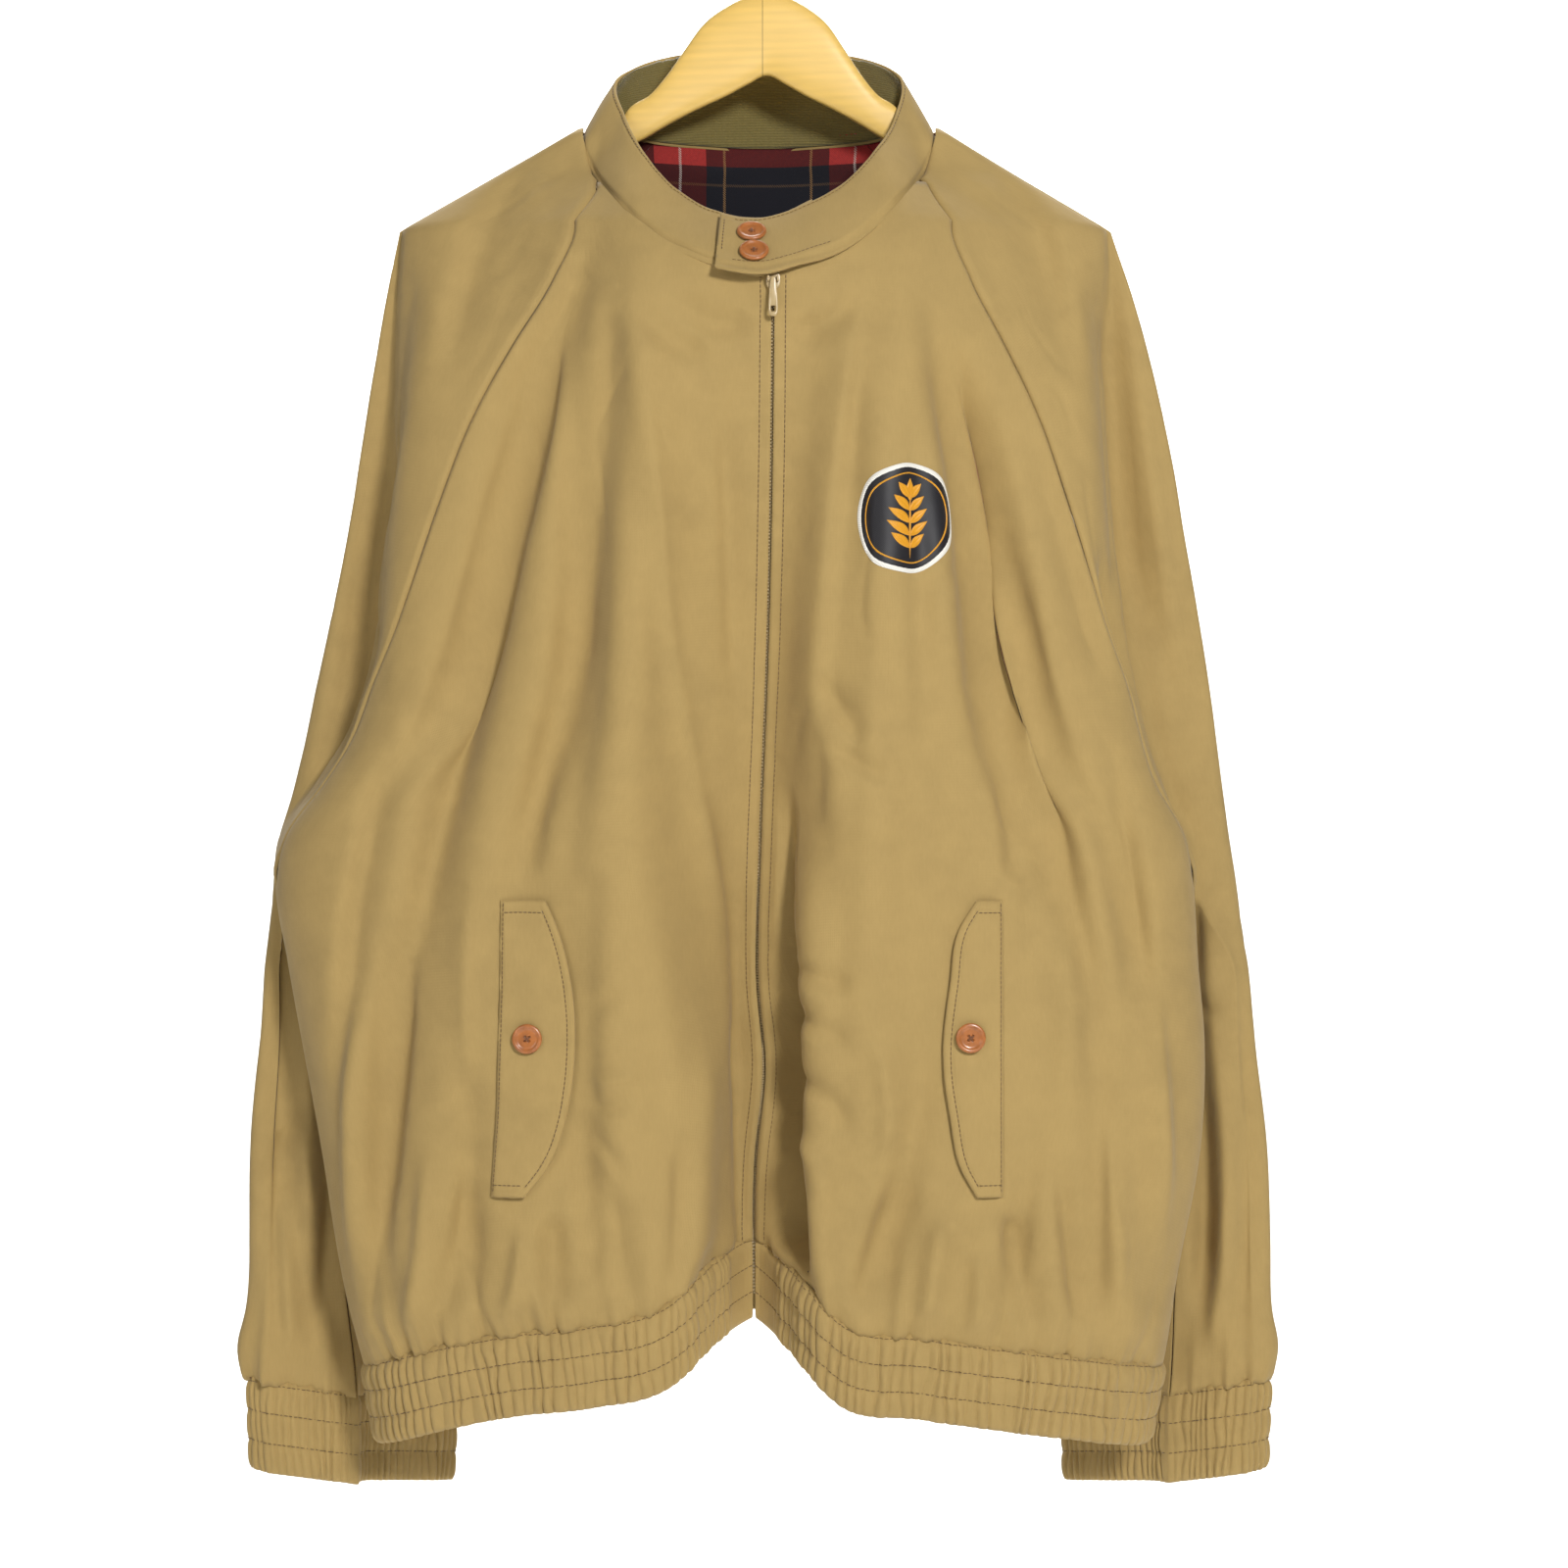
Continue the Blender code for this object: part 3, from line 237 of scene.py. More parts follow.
# Soft folds of the fronts: shares of the way to the side where a fold starts and ends, its heights, its
# width as a share, and its depth (below zero for a valley)
FOLDS = table("side top_share top_z end_share end_z width depth", [
    (-1, 0.50, -205, 0.47, -650, 0.045, -8),
    (-1, 0.55, -280, 0.84, -600, 0.045, -7),
    (-1, 0.74, -640, 0.90, -900, 0.040, -6),
    (-1, 0.36, -230, 0.30, -900, 0.050, 5),
    (-1, 0.40, -760, 0.36, -925, 0.035, -5),
    (-1, 0.62, -700, 0.66, -925, 0.035, -5),
    (1, 0.42, -240, 0.66, -640, 0.050, -9),
    (1, 0.28, -290, 0.36, -560, 0.050, 4),
    (1, 0.62, -400, 0.86, -700, 0.040, -6),
    (1, 0.36, -700, 0.30, -925, 0.040, -5),
    (1, 0.72, -700, 0.80, -925, 0.040, -6),
    (1, 0.60, -780, 0.58, -925, 0.030, -4)])

# Collar: how far round, seam's x and z, and rim's x, y and z; the first row is the front's middle
COLLAR = table("turn seam_x seam_z rim_x rim_y rim_z", [
    (0.00, 1, -259, 0, -52, -222),
    (0.06, 28, -253, 27, -50, -216),
    (0.13, 52, -240, 50, -43, -200),
    (0.20, 76, -216, 68, -30, -176),
    (0.27, 97, -187, 81, -12, -150),
    (0.34, 105, -158, 84, 10, -122),
    (0.42, 58, -157, 52, 38, -103),
    (0.50, -5, -157, -8, 46, -97),
    (0.58, -68, -157, -64, 38, -104),
    (0.66, -115, -158, -95, 10, -124),
    (0.73, -108, -187, -90, -12, -150),
    (0.80, -86, -216, -76, -32, -178),
    (0.87, -60, -238, -54, -43, -204),
    (0.94, -30, -252, -28, -50, -218),
    (1.00, 1, -259, 0, -52, -222)])

# Pocket flaps on each front: stitched edge and free edge, x by height
FLAPS = table("z right_stitched right_free left_stitched left_free", [
    (-640, 160, 132, 142, 126),
    (-656, 160, 125, 142, 116),
    (-690, 160, 116, 142, 110),
    (-730, 161, 114, 142, 106),
    (-770, 162, 120, 142, 110),
    (-800, 164, 131, 142, 116),
    (-818, 165, 145, 142, 126)])


def along(x, xs, ys):
    """A smooth curve through the points (xs, ys), read at x: cubic Hermite pieces with central slopes."""
    order = np.argsort(xs)
    xs, ys = np.asarray(xs, float)[order], np.asarray(ys, float)[order]
    x = np.clip(x, xs[0], xs[-1])
    slope = np.gradient(ys, xs)
    i = np.clip(np.searchsorted(xs, x, side="right") - 1, 0, len(xs) - 2)
    h = xs[i + 1] - xs[i]
    t = (x - xs[i]) / h
    a = (1 + 2 * t) * (1 - t) ** 2 * ys[i] + t * (1 - t) ** 2 * h * slope[i]
    b = t * t * (3 - 2 * t) * ys[i + 1] - t * t * (1 - t) * h * slope[i + 1]
    return a + b


def read(columns, name, z):
    return along(z, columns["z"], columns[name])


def ease(x, start, end):
    """0 before start, 1 after end and a smooth step between."""
    t = np.clip((x - start) / (end - start), 0, 1)
    return t * t * (3 - 2 * t)


def bell(x, middle, width):
    """A bell across x: exp(-((x - middle) / width)^2)."""
    return np.exp(-((x - middle) / width) ** 2)


def unit(v):
    """Vectors scaled to a length of 1."""
    return v / np.maximum(np.linalg.norm(v, axis=-1, keepdims=True), 1e-9)


def circle(count):
    """Angles evenly spaced round a full turn."""
    return np.linspace(0, 2 * np.pi, count, endpoint=False)


def side_name(side):
    return "left" if side > 0 else "right"


def edge_x(side, kind, z):
    """x of the fold or the outer edge; above the shoulder's end both are the ridge over the hanger."""
    low = side * read(EDGES, f"{side_name(side)}_{kind}", np.minimum(z, CORNER_Z))
    start = MIRROR_X + side * (RIDGE_START_X - 5)
    corner = side * read(EDGES, f"{side_name(side)}_{kind}", np.array(CORNER_Z))
    t = (NECK_Z - np.maximum(z, CORNER_Z)) / (NECK_Z - CORNER_Z)
    return np.where(z > CORNER_Z, start + (corner - start) * t, low)


def hem_rise(name, share):
    return along(share, HEM_RISE["share"], HEM_RISE[name])


def ramp(z):
    """How much of the hem's rise has been reached at the nominal height z."""
    return np.clip((ARMPIT_Z - z) / (ARMPIT_Z - HEM_Z), 0, None) ** 1.4


def fold_relief(side, share, z):
    """Sum of the soft folds: each is a bell across its line, faded in and out at its ends."""
    total = np.zeros(np.broadcast(share, z).shape)
    for k in np.flatnonzero(FOLDS["side"] == side):
        f = {name: column[k] for name, column in FOLDS.items()}
        t = (f["top_z"] - z) / (f["top_z"] - f["end_z"])
        line = f["top_share"] + (f["end_share"] - f["top_share"]) * np.clip(t, 0, 1)
        across = bell(share, line, f["width"])
        total += f["depth"] * across * ease(t, -0.02, 0.35) * (1 - ease(t, 0.8, 1.12))
    return total * (1 - ease(share, 0.86, 0.97)) * ease(share, 0.02, 0.12)


def front_point(side, share, z):
    """Front sheet: y runs from the zip over the lobe and turns back to the fold as a rounded edge."""
    share, z = np.broadcast_arrays(np.asarray(share, float), np.asarray(z, float))
    x0 = read(ZIP, "x", z)
    x = x0 + (edge_x(side, "fold", z) - x0) * share
    zip_y, middle, lobe, fold = (read(FRONT, name, z) for name in ("zip", "middle", "lobe", "fold"))
    to_middle = ease(share, 0.0, read(VALLEY, side_name(side), z))
    to_lobe = ease(share, 0.34, 0.72)
    flat = zip_y + (middle - zip_y) * to_middle + (lobe - middle) * to_lobe
    flat = flat - fold_relief(side, share, z)
    turn = np.sqrt(1 - np.clip(share, 0, 1) ** 5)
    y = fold + (flat - fold) * turn
    rise = hem_rise(side_name(side), share)
    return np.stack([x, y, z + rise * ramp(z)], -1)


def back_point(side, share, z):
    """Back sheet: y falls from the middle to the blade and turns forward to the edge."""
    share, z = np.broadcast_arrays(np.asarray(share, float), np.asarray(z, float))
    outer, fold = edge_x(side, "outer", z), edge_x(side, "fold", z)
    edge = outer + (fold - outer) * read(BACK, "fold_share", z)
    x = MIRROR_X + (edge - MIRROR_X) * share
    centre, half, blade, end = (read(BACK, name, z) for name in ("centre", "half", "blade", "edge"))
    flat = centre + (half - centre) * ease(share, 0.05, 0.5) + (blade - half) * ease(share, 0.38, 0.85)
    pleat = 3.0 * np.sin(share * 14 + side) * ease(share, 0.1, 0.3) * (1 - ease(share, 0.6, 0.8))
    power = 6 - 4.1 * ease(-z, 430, 620)
    y = end + (flat - end) * np.sqrt(1 - np.clip(share, 0, 1) ** power)
    y = y + pleat * ease(-z, 300, 700)
    rise = hem_rise("back", share)
    return np.stack([x, y, z + rise * ramp(z)], -1)


def neck_share(side, z):
    """Share at which a level section of the front starts: the neck seam above, the zip's gap below."""
    half = COLLAR["turn"] < 0.4 if side > 0 else COLLAR["turn"] > 0.6
    order = np.argsort(-COLLAR["seam_z"][half])
    seam_x = np.interp(-z - NECK_SPACE, -COLLAR["seam_z"][half][order], COLLAR["seam_x"][half][order])
    x0 = read(ZIP, "x", z)
    width = np.abs(edge_x(side, "fold", z) - x0)
    seam = (seam_x - x0) / (edge_x(side, "fold", z) - x0) + NECK_SPACE / width
    return np.where(z > ZIP_TOP, np.maximum(seam, ZIP_SPACE / width), ZIP_SPACE / width)


def raglan_share(side, z):
    """The front raglan seam, kept a little outside the neck seam at its tip."""
    return np.maximum(read(RAGLAN, "front", z), neck_share(side, z) + TIP_SHARE)


def spread(start, end, count):
    """Shares from start to end, closer together towards the rounded edge."""
    t = np.linspace(0, 1, count)
    t = (t + np.sin(t * np.pi / 2)) / 2
    return start[:, None] + (end - start)[:, None] * t


def catmull(points, steps):
    """A smooth curve through the control points of each row, with the given number of steps in each
    stretch."""
    ends = [2 * points[:, :1] - points[:, 1:2], points, 2 * points[:, -1:] - points[:, -2:-1]]
    p = np.concatenate(ends, 1)
    out = []
    for i, count in enumerate(steps):
        a, b, c, d = (p[:, i + k, None] for k in range(4))
        t = (np.arange(count) / count)[None, :, None]
        m0, m1 = (c - a) * 0.42, (d - b) * 0.42
        out.append((2 * t**3 - 3 * t**2 + 1) * b + (t**3 - 2 * t**2 + t) * m0
                   + (3 * t**2 - 2 * t**3) * c + (t**3 - t**2) * m1)
    return np.concatenate(out + [points[:, -1:]], 1)


def inset(grid, first=SEAM / 2, last=SEAM / 2):
    """The grid with its first and last columns drawn in along the rows, to leave a seam's space."""
    grid = grid.copy()
    for edge, beside, space in ((0, 1, first), (-1, -2, last)):
        way = grid[:, beside] - grid[:, edge]
        grid[:, edge] += way * (space / np.maximum(np.linalg.norm(way, axis=-1, keepdims=True), 1e-6))
    return grid


def sleeve_grid(side, rows, yoke, steps):
    """Sleeve: from the front raglan seam over the fold and the outer edge round to the back raglan seam."""
    z = rows[:, None]
    front_seam, back_seam = raglan_share(side, rows), read(RAGLAN, "back", rows)
    front_seam = np.where(rows > TIP_Z + 0.5, neck_share(side, np.minimum(rows, -158.5)), front_seam)
    front_seam = np.clip(front_seam, 0, 0.985)
    on_front = front_point(side, spread(front_seam, front_seam * 0 + 1, yoke), z)
    outer = edge_x(side, "outer", rows)
    free = {}
    fold_x = edge_x(side, "fold", rows)
    for name in ("rear", "fold", "under", "step", "seam"):
        x = fold_x + side * read(SLEEVE, f"{name}_out", rows) if name in ("step", "seam") else outer
        if name != "seam":
            inward = outer - side * read(SLEEVE, f"{name}_in", rows)
            x = x + (inward - x) * (ease(-rows, 632, 690) if name == "step" else 1.0)
        free[name] = np.stack([x, read(SLEEVE, f"{name}_y", rows), rows], -1)
    edge = np.stack([outer, read(SLEEVE, "outer_y", rows), rows], -1)
    hangs = ease(-rows, 370, 430)[:, None]
    on_back = {}
    for name, part in (("rear", 0.9), ("fold", 0.35), ("under", 0.18)):
        on_back[name] = back_point(side, back_seam + part * (1 - back_seam), rows)
        free[name] = on_back[name] + (free[name] - on_back[name]) * hangs
    seam = back_point(side, back_seam, rows)
    seam += np.array([side * 0.4, 1.6, 0]) * hangs
    closed = ease(-rows, 600, 632)[:, None]
    beside = free["seam"] + np.array([-side * 0.6, 0.9, 0])
    seam = seam + (beside - seam) * ease(-rows, 621, 632)[:, None]
    ring = catmull(np.stack([free["step"], edge, free["rear"], free["fold"], free["under"], seam], 1), steps)
    t = np.linspace(0, 1, yoke + 1)[None, :yoke, None]
    tucked = free["seam"][:, None] + (free["step"] - free["seam"])[:, None] * t
    on_front = on_front + (tucked - on_front) * closed[:, :, None]
    grid = np.concatenate([on_front, ring], 1)
    grid[..., 2] -= CUFF_TILT * np.abs(grid[..., 0] - outer[:, None]) * ease(-z, 740, 945)
    return grid


def points_at(line, at, places):
    """Points of a line at places, by straight blends; at gives the place of each of its own points."""
    return np.stack([np.interp(places, at, line[:, k]) for k in range(3)], -1)


def along_line(line, count, start=0.0, end=0.0):
    """Points evenly spaced along a line of points, from start to end millimetres short of its ends."""
    length = np.concatenate([[0], np.cumsum(np.linalg.norm(np.diff(line, axis=0), axis=1))])
    return points_at(line, length, np.linspace(start, length[-1] - end, count))


def collar_point(turn, height):
    """Collar: a straight blend from the neck seam up to the rim, a little bowed."""
    turn, height = np.broadcast_arrays(np.asarray(turn, float), np.asarray(height, float))
    wrapped = turn % 1.0
    cyclic = {name: np.concatenate([c[-4:-1], c, c[1:4]]) for name, c in COLLAR.items()}
    cyclic["turn"] = np.concatenate([COLLAR["turn"][-4:-1] - 1, COLLAR["turn"], COLLAR["turn"][1:4] + 1])
    got = {name: along(wrapped, cyclic["turn"], cyclic[name]) for name in COLLAR if name != "turn"}
    seam_y = neck_y(wrapped, got["seam_x"], got["seam_z"])
    seam = np.stack([got["seam_x"], seam_y, got["seam_z"]], -1)
    rim = np.stack([got["rim_x"], got["rim_y"], got["rim_z"]], -1)
    bow = np.sin(np.pi * height)[..., None] * np.array([0, 0, 1.5])
    return seam + (rim - seam) * height[..., None] + bow


def neck_y(turn, x, z):
    """y of the cloth under the neck seam, taken from the front or the back sheet where the seam lies on
    it."""
    side = np.where(x < MIRROR_X, -1, 1)
    y = np.zeros(np.shape(x))
    for s in (-1, 1):
        x0 = read(ZIP, "x", z)
        front = front_point(s, np.clip((x - x0) / (edge_x(s, "fold", z) - x0), 0, 1), z)[..., 1]
        back_z = np.maximum(z, -175)
        back_share = np.clip((x - MIRROR_X) / (edge_x(s, "outer", back_z) - MIRROR_X), 0, 1)
        back = back_point(s, back_share, back_z)[..., 1]
        behind = 1 - ease(-z, 158, 176)
        y = np.where(side == s, front + (back - front) * behind * ease(np.abs(turn - 0.5), 0.22, 0.13), y)
    return y


def on_front(side, x, z, out):
    """Points of a front panel at x and height z, moved out of its face."""
    x0 = read(ZIP, "x", z)
    share = (x - x0) / (edge_x(side, "fold", z) - x0)
    p, q, r = (front_point(side, share + ds, z + dz) for ds, dz in ((0, 0), (0.01, 0), (0, 2)))
    n = np.cross(q - p, r - p)
    n = unit(n) * -np.sign(n[..., 1:2])
    return p + n * np.asarray(out)[..., None]


def ridge_z(x):
    """Height of the shoulder's fold over the hanger."""
    side = np.where(x < MIRROR_X, -1, 1)
    corner = np.where(side > 0, edge_x(1, "fold", np.array(CORNER_Z)), edge_x(-1, "fold", np.array(CORNER_Z)))
    start = MIRROR_X + side * (RIDGE_START_X - 5)
    return NECK_Z + (CORNER_Z - NECK_Z) * (x - start) / (corner - start)


# Sizes of what lies on the cloth, in millimetres
SHELL = 1.1                # thickness of the cloth with its lining
SEAM_DIP = 1.9             # how deep a seam lies between its panels
ZIP_STITCH = 7.0           # topstitching beside the zip
COLLAR_STITCH = 3.4        # topstitching below the collar's rim
FLAP_STITCH = 5.0          # topstitching inside a flap's edge
KNIT_RIB = 2.3             # from rib to rib of the collar's knit
JOINT_X = -3.0             # glued joint of the hanger's two halves
CHECK_REPEAT = 0.112       # repeat of the lining's check, in metres
TWILL = 0.0007             # step of its twill, drawn coarse so that it shows, in metres
FLOOR_Z = -1420.0
WORLD_LIGHT = 0.17
GATHERS_DRAWN = 2.3        # gathers shown for each one of the frame's
CREASE_DEPTH = 2.5         # multiplies the depths of the crease tables
BADGE = {"x": 83.5, "z": -411.0, "wide": 56.0, "tall": 66.0}


# ---- Surface detail ----

# Creases of each piece: a curve through three places (x, z), its half width, its depth (below zero for a
# valley) and its lean, which steepens one flank
CREASE_COLUMNS = "xa za xb zb xc zc width depth lean"
CREASES = {
    "front_right": table(CREASE_COLUMNS, [
        (-98, -222, -104, -430, -148, -630, 15, -5, 0.5),
        (-108, -222, -160, -420, -222, -700, 17, -5.5, -0.4),
        (-150, -420, -198, -590, -236, -860, 14, -4, 0.5),
        (-222, -640, -229, -740, -240, -885, 10, -3.5, -0.5),
        (-84, -240, -86, -540, -78, -880, 24, 4.5, 0),
        (-84, -238, -52, -500, -6, -690, 12, 3.2, 0.6),
        (-40, -560, -16, -660, -10, -760, 9, -4.5, 0.5),
        (-14, -700, -12, -790, -11, -905, 7, -4, 0.4),
        (-62, -270, -32, -292, -6, -288, 8, -2, 0.3),
        (-92, -262, -60, -300, -34, -306, 9, -1.8, 0.3),
        (-120, -780, -128, -840, -118, -905, 8, -3, 0.4),
        (-176, -800, -186, -850, -196, -905, 9, -3, 0.4),
        (-204, -790, -208, -850, -214, -905, 7, 2.6, 0.3),
        (-146, -830, -150, -870, -158, -905, 6, 2.6, 0.4),
        (-92, -800, -88, -850, -84, -895, 8, -2.6, 0.3),
        (-54, -780, -50, -830, -60, -885, 7, -2.6, -0.3),
        (-36, -720, -40, -800, -44, -870, 9, 2.4, 0.3),
        (-112, -755, -96, -764, -80, -758, 4, -1.3, 0.4),
        (-110, -742, -92, -748, -76, -738, 4, 1.2, 0.4),
        (-112, -712, -98, -704, -88, -690, 4, -1.1, 0.4),
        (-106, -780, -92, -792, -84, -808, 4, -1.2, 0.4),
        (-232, -560, -248, -640, -262, -760, 9, -3.4, 0.6),
        (-248, -700, -252, -790, -250, -880, 8, 3, 0.4),
        (-196, -300, -214, -380, -232, -470, 11, -3, 0.5),
        (-170, -620, -176, -690, -172, -760, 12, 2.4, 0),
        (-120, -480, -124, -560, -132, -640, 11, 2.2, 0.3),
        (-60, -420, -46, -520, -30, -600, 9, -1.8, 0.5),
        (-26, -330, -22, -430, -20, -520, 7, -1.6, 0.4)]),
    "front_left": table(CREASE_COLUMNS, [
        (56, -250, 38, -420, 28, -600, 10, 3.4, -0.6),
        (28, -590, 30, -720, 24, -900, 11, 3.6, -0.5),
        (84, -262, 66, -500, 58, -820, 20, 4.6, 0),
        (112, -294, 132, -420, 146, -610, 13, -6, -0.5),
        (126, -310, 162, -520, 206, -740, 13, -5, -0.5),
        (146, -560, 150, -620, 146, -690, 9, -2.6, 0.4),
        (166, -350, 190, -430, 208, -520, 10, -3, -0.5),
        (96, -320, 104, -420, 108, -520, 12, 2.4, 0.2),
        (36, -505, 48, -530, 58, -545, 5, -1.8, 0.5),
        (40, -545, 58, -560, 76, -566, 5, -1.8, 0.5),
        (34, -520, 42, -560, 38, -600, 6, 1.6, 0.4),
        (24, -676, 36, -688, 52, -690, 5, -1.8, 0.5),
        (20, -700, 34, -716, 50, -726, 5, -1.7, 0.5),
        (22, -742, 38, -760, 48, -780, 5, -1.8, 0.5),
        (24, -780, 34, -800, 36, -826, 5, 1.6, 0.4),
        (64, -720, 72, -760, 70, -800, 6, 1.6, 0.4),
        (84, -800, 66, -850, 52, -890, 9, -3.2, 0.4),
        (108, -820, 100, -860, 92, -900, 7, 2.6, 0.3),
        (146, -810, 152, -860, 160, -905, 9, -3.2, 0.4),
        (178, -800, 184, -850, 190, -905, 8, -3, 0.4),
        (128, -850, 126, -880, 122, -905, 6, 2.4, 0.4),
        (204, -760, 210, -830, 214, -905, 8, 2.8, 0.3),
        (212, -560, 226, -640, 236, -760, 9, -3.4, -0.6),
        (228, -660, 238, -750, 242, -860, 8, 3, -0.4),
        (60, -268, 36, -292, 14, -290, 8, -2, 0.3),
        (176, -640, 182, -700, 178, -770, 10, 2.2, 0),
        (112, -640, 108, -700, 110, -770, 9, -2, 0.3)]),
    "back": table(CREASE_COLUMNS, [
        (-60, -230, -70, -420, -92, -700, 18, -5, 0.4),
        (-110, -250, -150, -430, -196, -640, 16, -5, -0.4),
        (-20, -260, -24, -480, -30, -820, 20, 3.6, 0),
        (52, -240, 60, -440, 74, -720, 17, -4.6, 0.4),
        (104, -260, 142, -420, 186, -640, 16, -5, 0.4),
        (-150, -600, -160, -740, -150, -890, 14, 3.6, 0.3),
        (-196, -640, -210, -760, -214, -880, 11, -3.6, 0.4),
        (140, -620, 150, -740, 144, -890, 14, 3.6, 0.3),
        (190, -640, 202, -760, 206, -880, 11, -3.6, -0.4),
        (20, -560, 26, -700, 18, -850, 13, -3.6, 0.4),
        (96, -740, 104, -800, 98, -870, 9, -3, 0.3),
        (-86, -740, -96, -800, -90, -870, 9, -3, 0.3),
        (-60, -190, -6, -204, 46, -190, 8, -2, 0.4),
        (-46, -214, -4, -226, 40, -212, 8, -1.6, 0.4),
        (-40, -740, -44, -790, -38, -850, 8, 2.6, 0.3),
        (56, -760, 60, -800, 54, -860, 8, 2.6, 0.3)]),
    "sleeve_right": table(CREASE_COLUMNS, [
        (-220, -226, -252, -380, -262, -560, 11, -4.5, 0.5),
        (-232, -250, -268, -420, -290, -640, 9, 3.4, 0.4),
        (-228, -330, -256, -440, -274, -520, 8, -3.2, -0.5),
        (-252, -440, -272, -540, -300, -620, 9, -3.4, 0.5),
        (-246, -500, -256, -560, -280, -610, 7, 2.6, 0.4),
        (-300, -640, -310, -760, -306, -900, 10, -4, 0.4),
        (-286, -700, -290, -790, -286, -890, 8, 3, 0.3),
        (-318, -700, -322, -800, -318, -920, 8, 2.6, 0.3),
        (-272, -800, -276, -860, -280, -915, 8, -3, 0.3),
        (-304, -820, -302, -880, -298, -925, 6, 2.6, 0.3),
        (-316, -560, -318, -640, -322, -720, 8, -2.8, -0.4),
        (-150, -186, -180, -240, -196, -330, 12, -2.6, 0.4),
        (-292, -760, -300, -790, -314, -800, 5, -1.8, 0.5),
        (-288, -600, -300, -622, -312, -630, 5, -1.8, 0.5)]),
    "sleeve_left": table(CREASE_COLUMNS, [
        (208, -228, 226, -360, 232, -500, 11, -5, -0.5),
        (218, -250, 246, -420, 262, -560, 10, 3.8, -0.4),
        (206, -420, 226, -500, 256, -600, 9, -4.8, -0.6),
        (232, -380, 244, -460, 262, -540, 7, -3.4, 0.6),
        (222, -480, 240, -560, 270, -650, 8, 3.4, 0.5),
        (252, -560, 262, -630, 270, -700, 9, -4, -0.5),
        (240, -590, 250, -610, 268, -616, 5, -2.4, 0.5),
        (272, -640, 286, -760, 290, -900, 10, 3.6, 0.3),
        (262, -740, 272, -830, 272, -910, 9, -4, 0.4),
        (300, -700, 302, -800, 298, -920, 8, -3.2, 0.3),
        (288, -820, 284, -880, 280, -925, 6, 2.4, 0.3),
        (286, -520, 296, -600, 302, -700, 9, -3, 0.4),
        (146, -188, 172, -240, 186, -330, 12, -2.8, -0.4),
        (264, -700, 276, -712, 292, -706, 5, -1.8, 0.5)]),
}


def crease_relief(name, x, z, steps=130):
    """Height of a piece's creases: a quadratic curve through three places, and across it a bell exp(-(d/w)^2)
    whose flanks lean by the signed distance d, faded in and out along the curve."""
    total = np.zeros(x.shape)
    t = np.linspace(0, 1, steps)
    for row in zip(*CREASES[name].values()):
        xa, za, xb, zb, xc, zc, width, depth, lean = row
        px = xa * (1 - t) * (1 - 2 * t) + xb * 4 * t * (1 - t) + xc * t * (2 * t - 1)
        pz = za * (1 - t) * (1 - 2 * t) + zb * 4 * t * (1 - t) + zc * t * (2 * t - 1)
        reach = 3.2 * width
        near = ((x > px.min() - reach) & (x < px.max() + reach)
                & (z > pz.min() - reach) & (z < pz.max() + reach))
        if not near.any():
            continue
        dx, dz = x[near][:, None] - px, z[near][:, None] - pz
        closest = np.argmin(dx * dx + dz * dz, 1)
        tx, tz = np.gradient(px), np.gradient(pz)
        size = np.hypot(tx, tz)
        pick = np.arange(len(closest))
        ax, az = dx[pick, closest], dz[pick, closest]
        across = (ax * tz[closest] - az * tx[closest]) / size[closest]
        past = (ax * tx[closest] + az * tz[closest]) / size[closest]
        beyond_end = np.where((closest == 0) | (closest == steps - 1), past, 0)
        u = across / width
        u = u * (1 + lean * np.tanh(u * 1.5) * 0.6)
        hump = np.exp(-u * u - (beyond_end / (width * 1.5)) ** 2)
        s = t[closest]
        total[near] += CREASE_DEPTH * depth * hump * ease(s, -0.05, 0.3) * (1 - ease(s, 0.7, 1.05))
    return total


def lattice(u, v, cell, seed):
    """Smooth value noise: random heights on a square lattice, joined by smooth steps, from -1 to 1."""
    heights = np.random.RandomState(seed).uniform(-1, 1, (97, 97))
    u, v = np.asarray(u) / cell, np.asarray(v) / cell
    i, j = np.floor(u).astype(int), np.floor(v).astype(int)
    fu, fv = u - i, v - j
    fu, fv = fu * fu * (3 - 2 * fu), fv * fv * (3 - 2 * fv)
    a, b = heights[i % 97, j % 97], heights[(i + 1) % 97, j % 97]
    c, d = heights[i % 97, (j + 1) % 97], heights[(i + 1) % 97, (j + 1) % 97]
    return (a * (1 - fu) + b * fu) * (1 - fv) + (c * (1 - fu) + d * fu) * fv


def crumple(x, z, seed):
    """Uneven surface of worn cotton: three sizes of value noise, drawn out along the hang, and faint hard
    wrinkles where the finest noise crosses zero."""
    soft = 1.1 * lattice(x, z * 0.45, 62, seed) + 0.55 * lattice(x + 0.3 * z, z * 0.6, 27, seed + 1)
    fine = 0.20 * lattice(x, z * 0.8, 10, seed + 2)
    bend = 14 * lattice(x, z, 70, seed + 3)
    line = lattice(x + bend, z * 0.55 + bend, 38, seed + 4)
    where = ease(lattice(x, z, 120, seed + 5), 0.0, 0.6)
    wrinkle = -0.9 * bell(line, 0, 0.09) * where
    return soft + fine + wrinkle


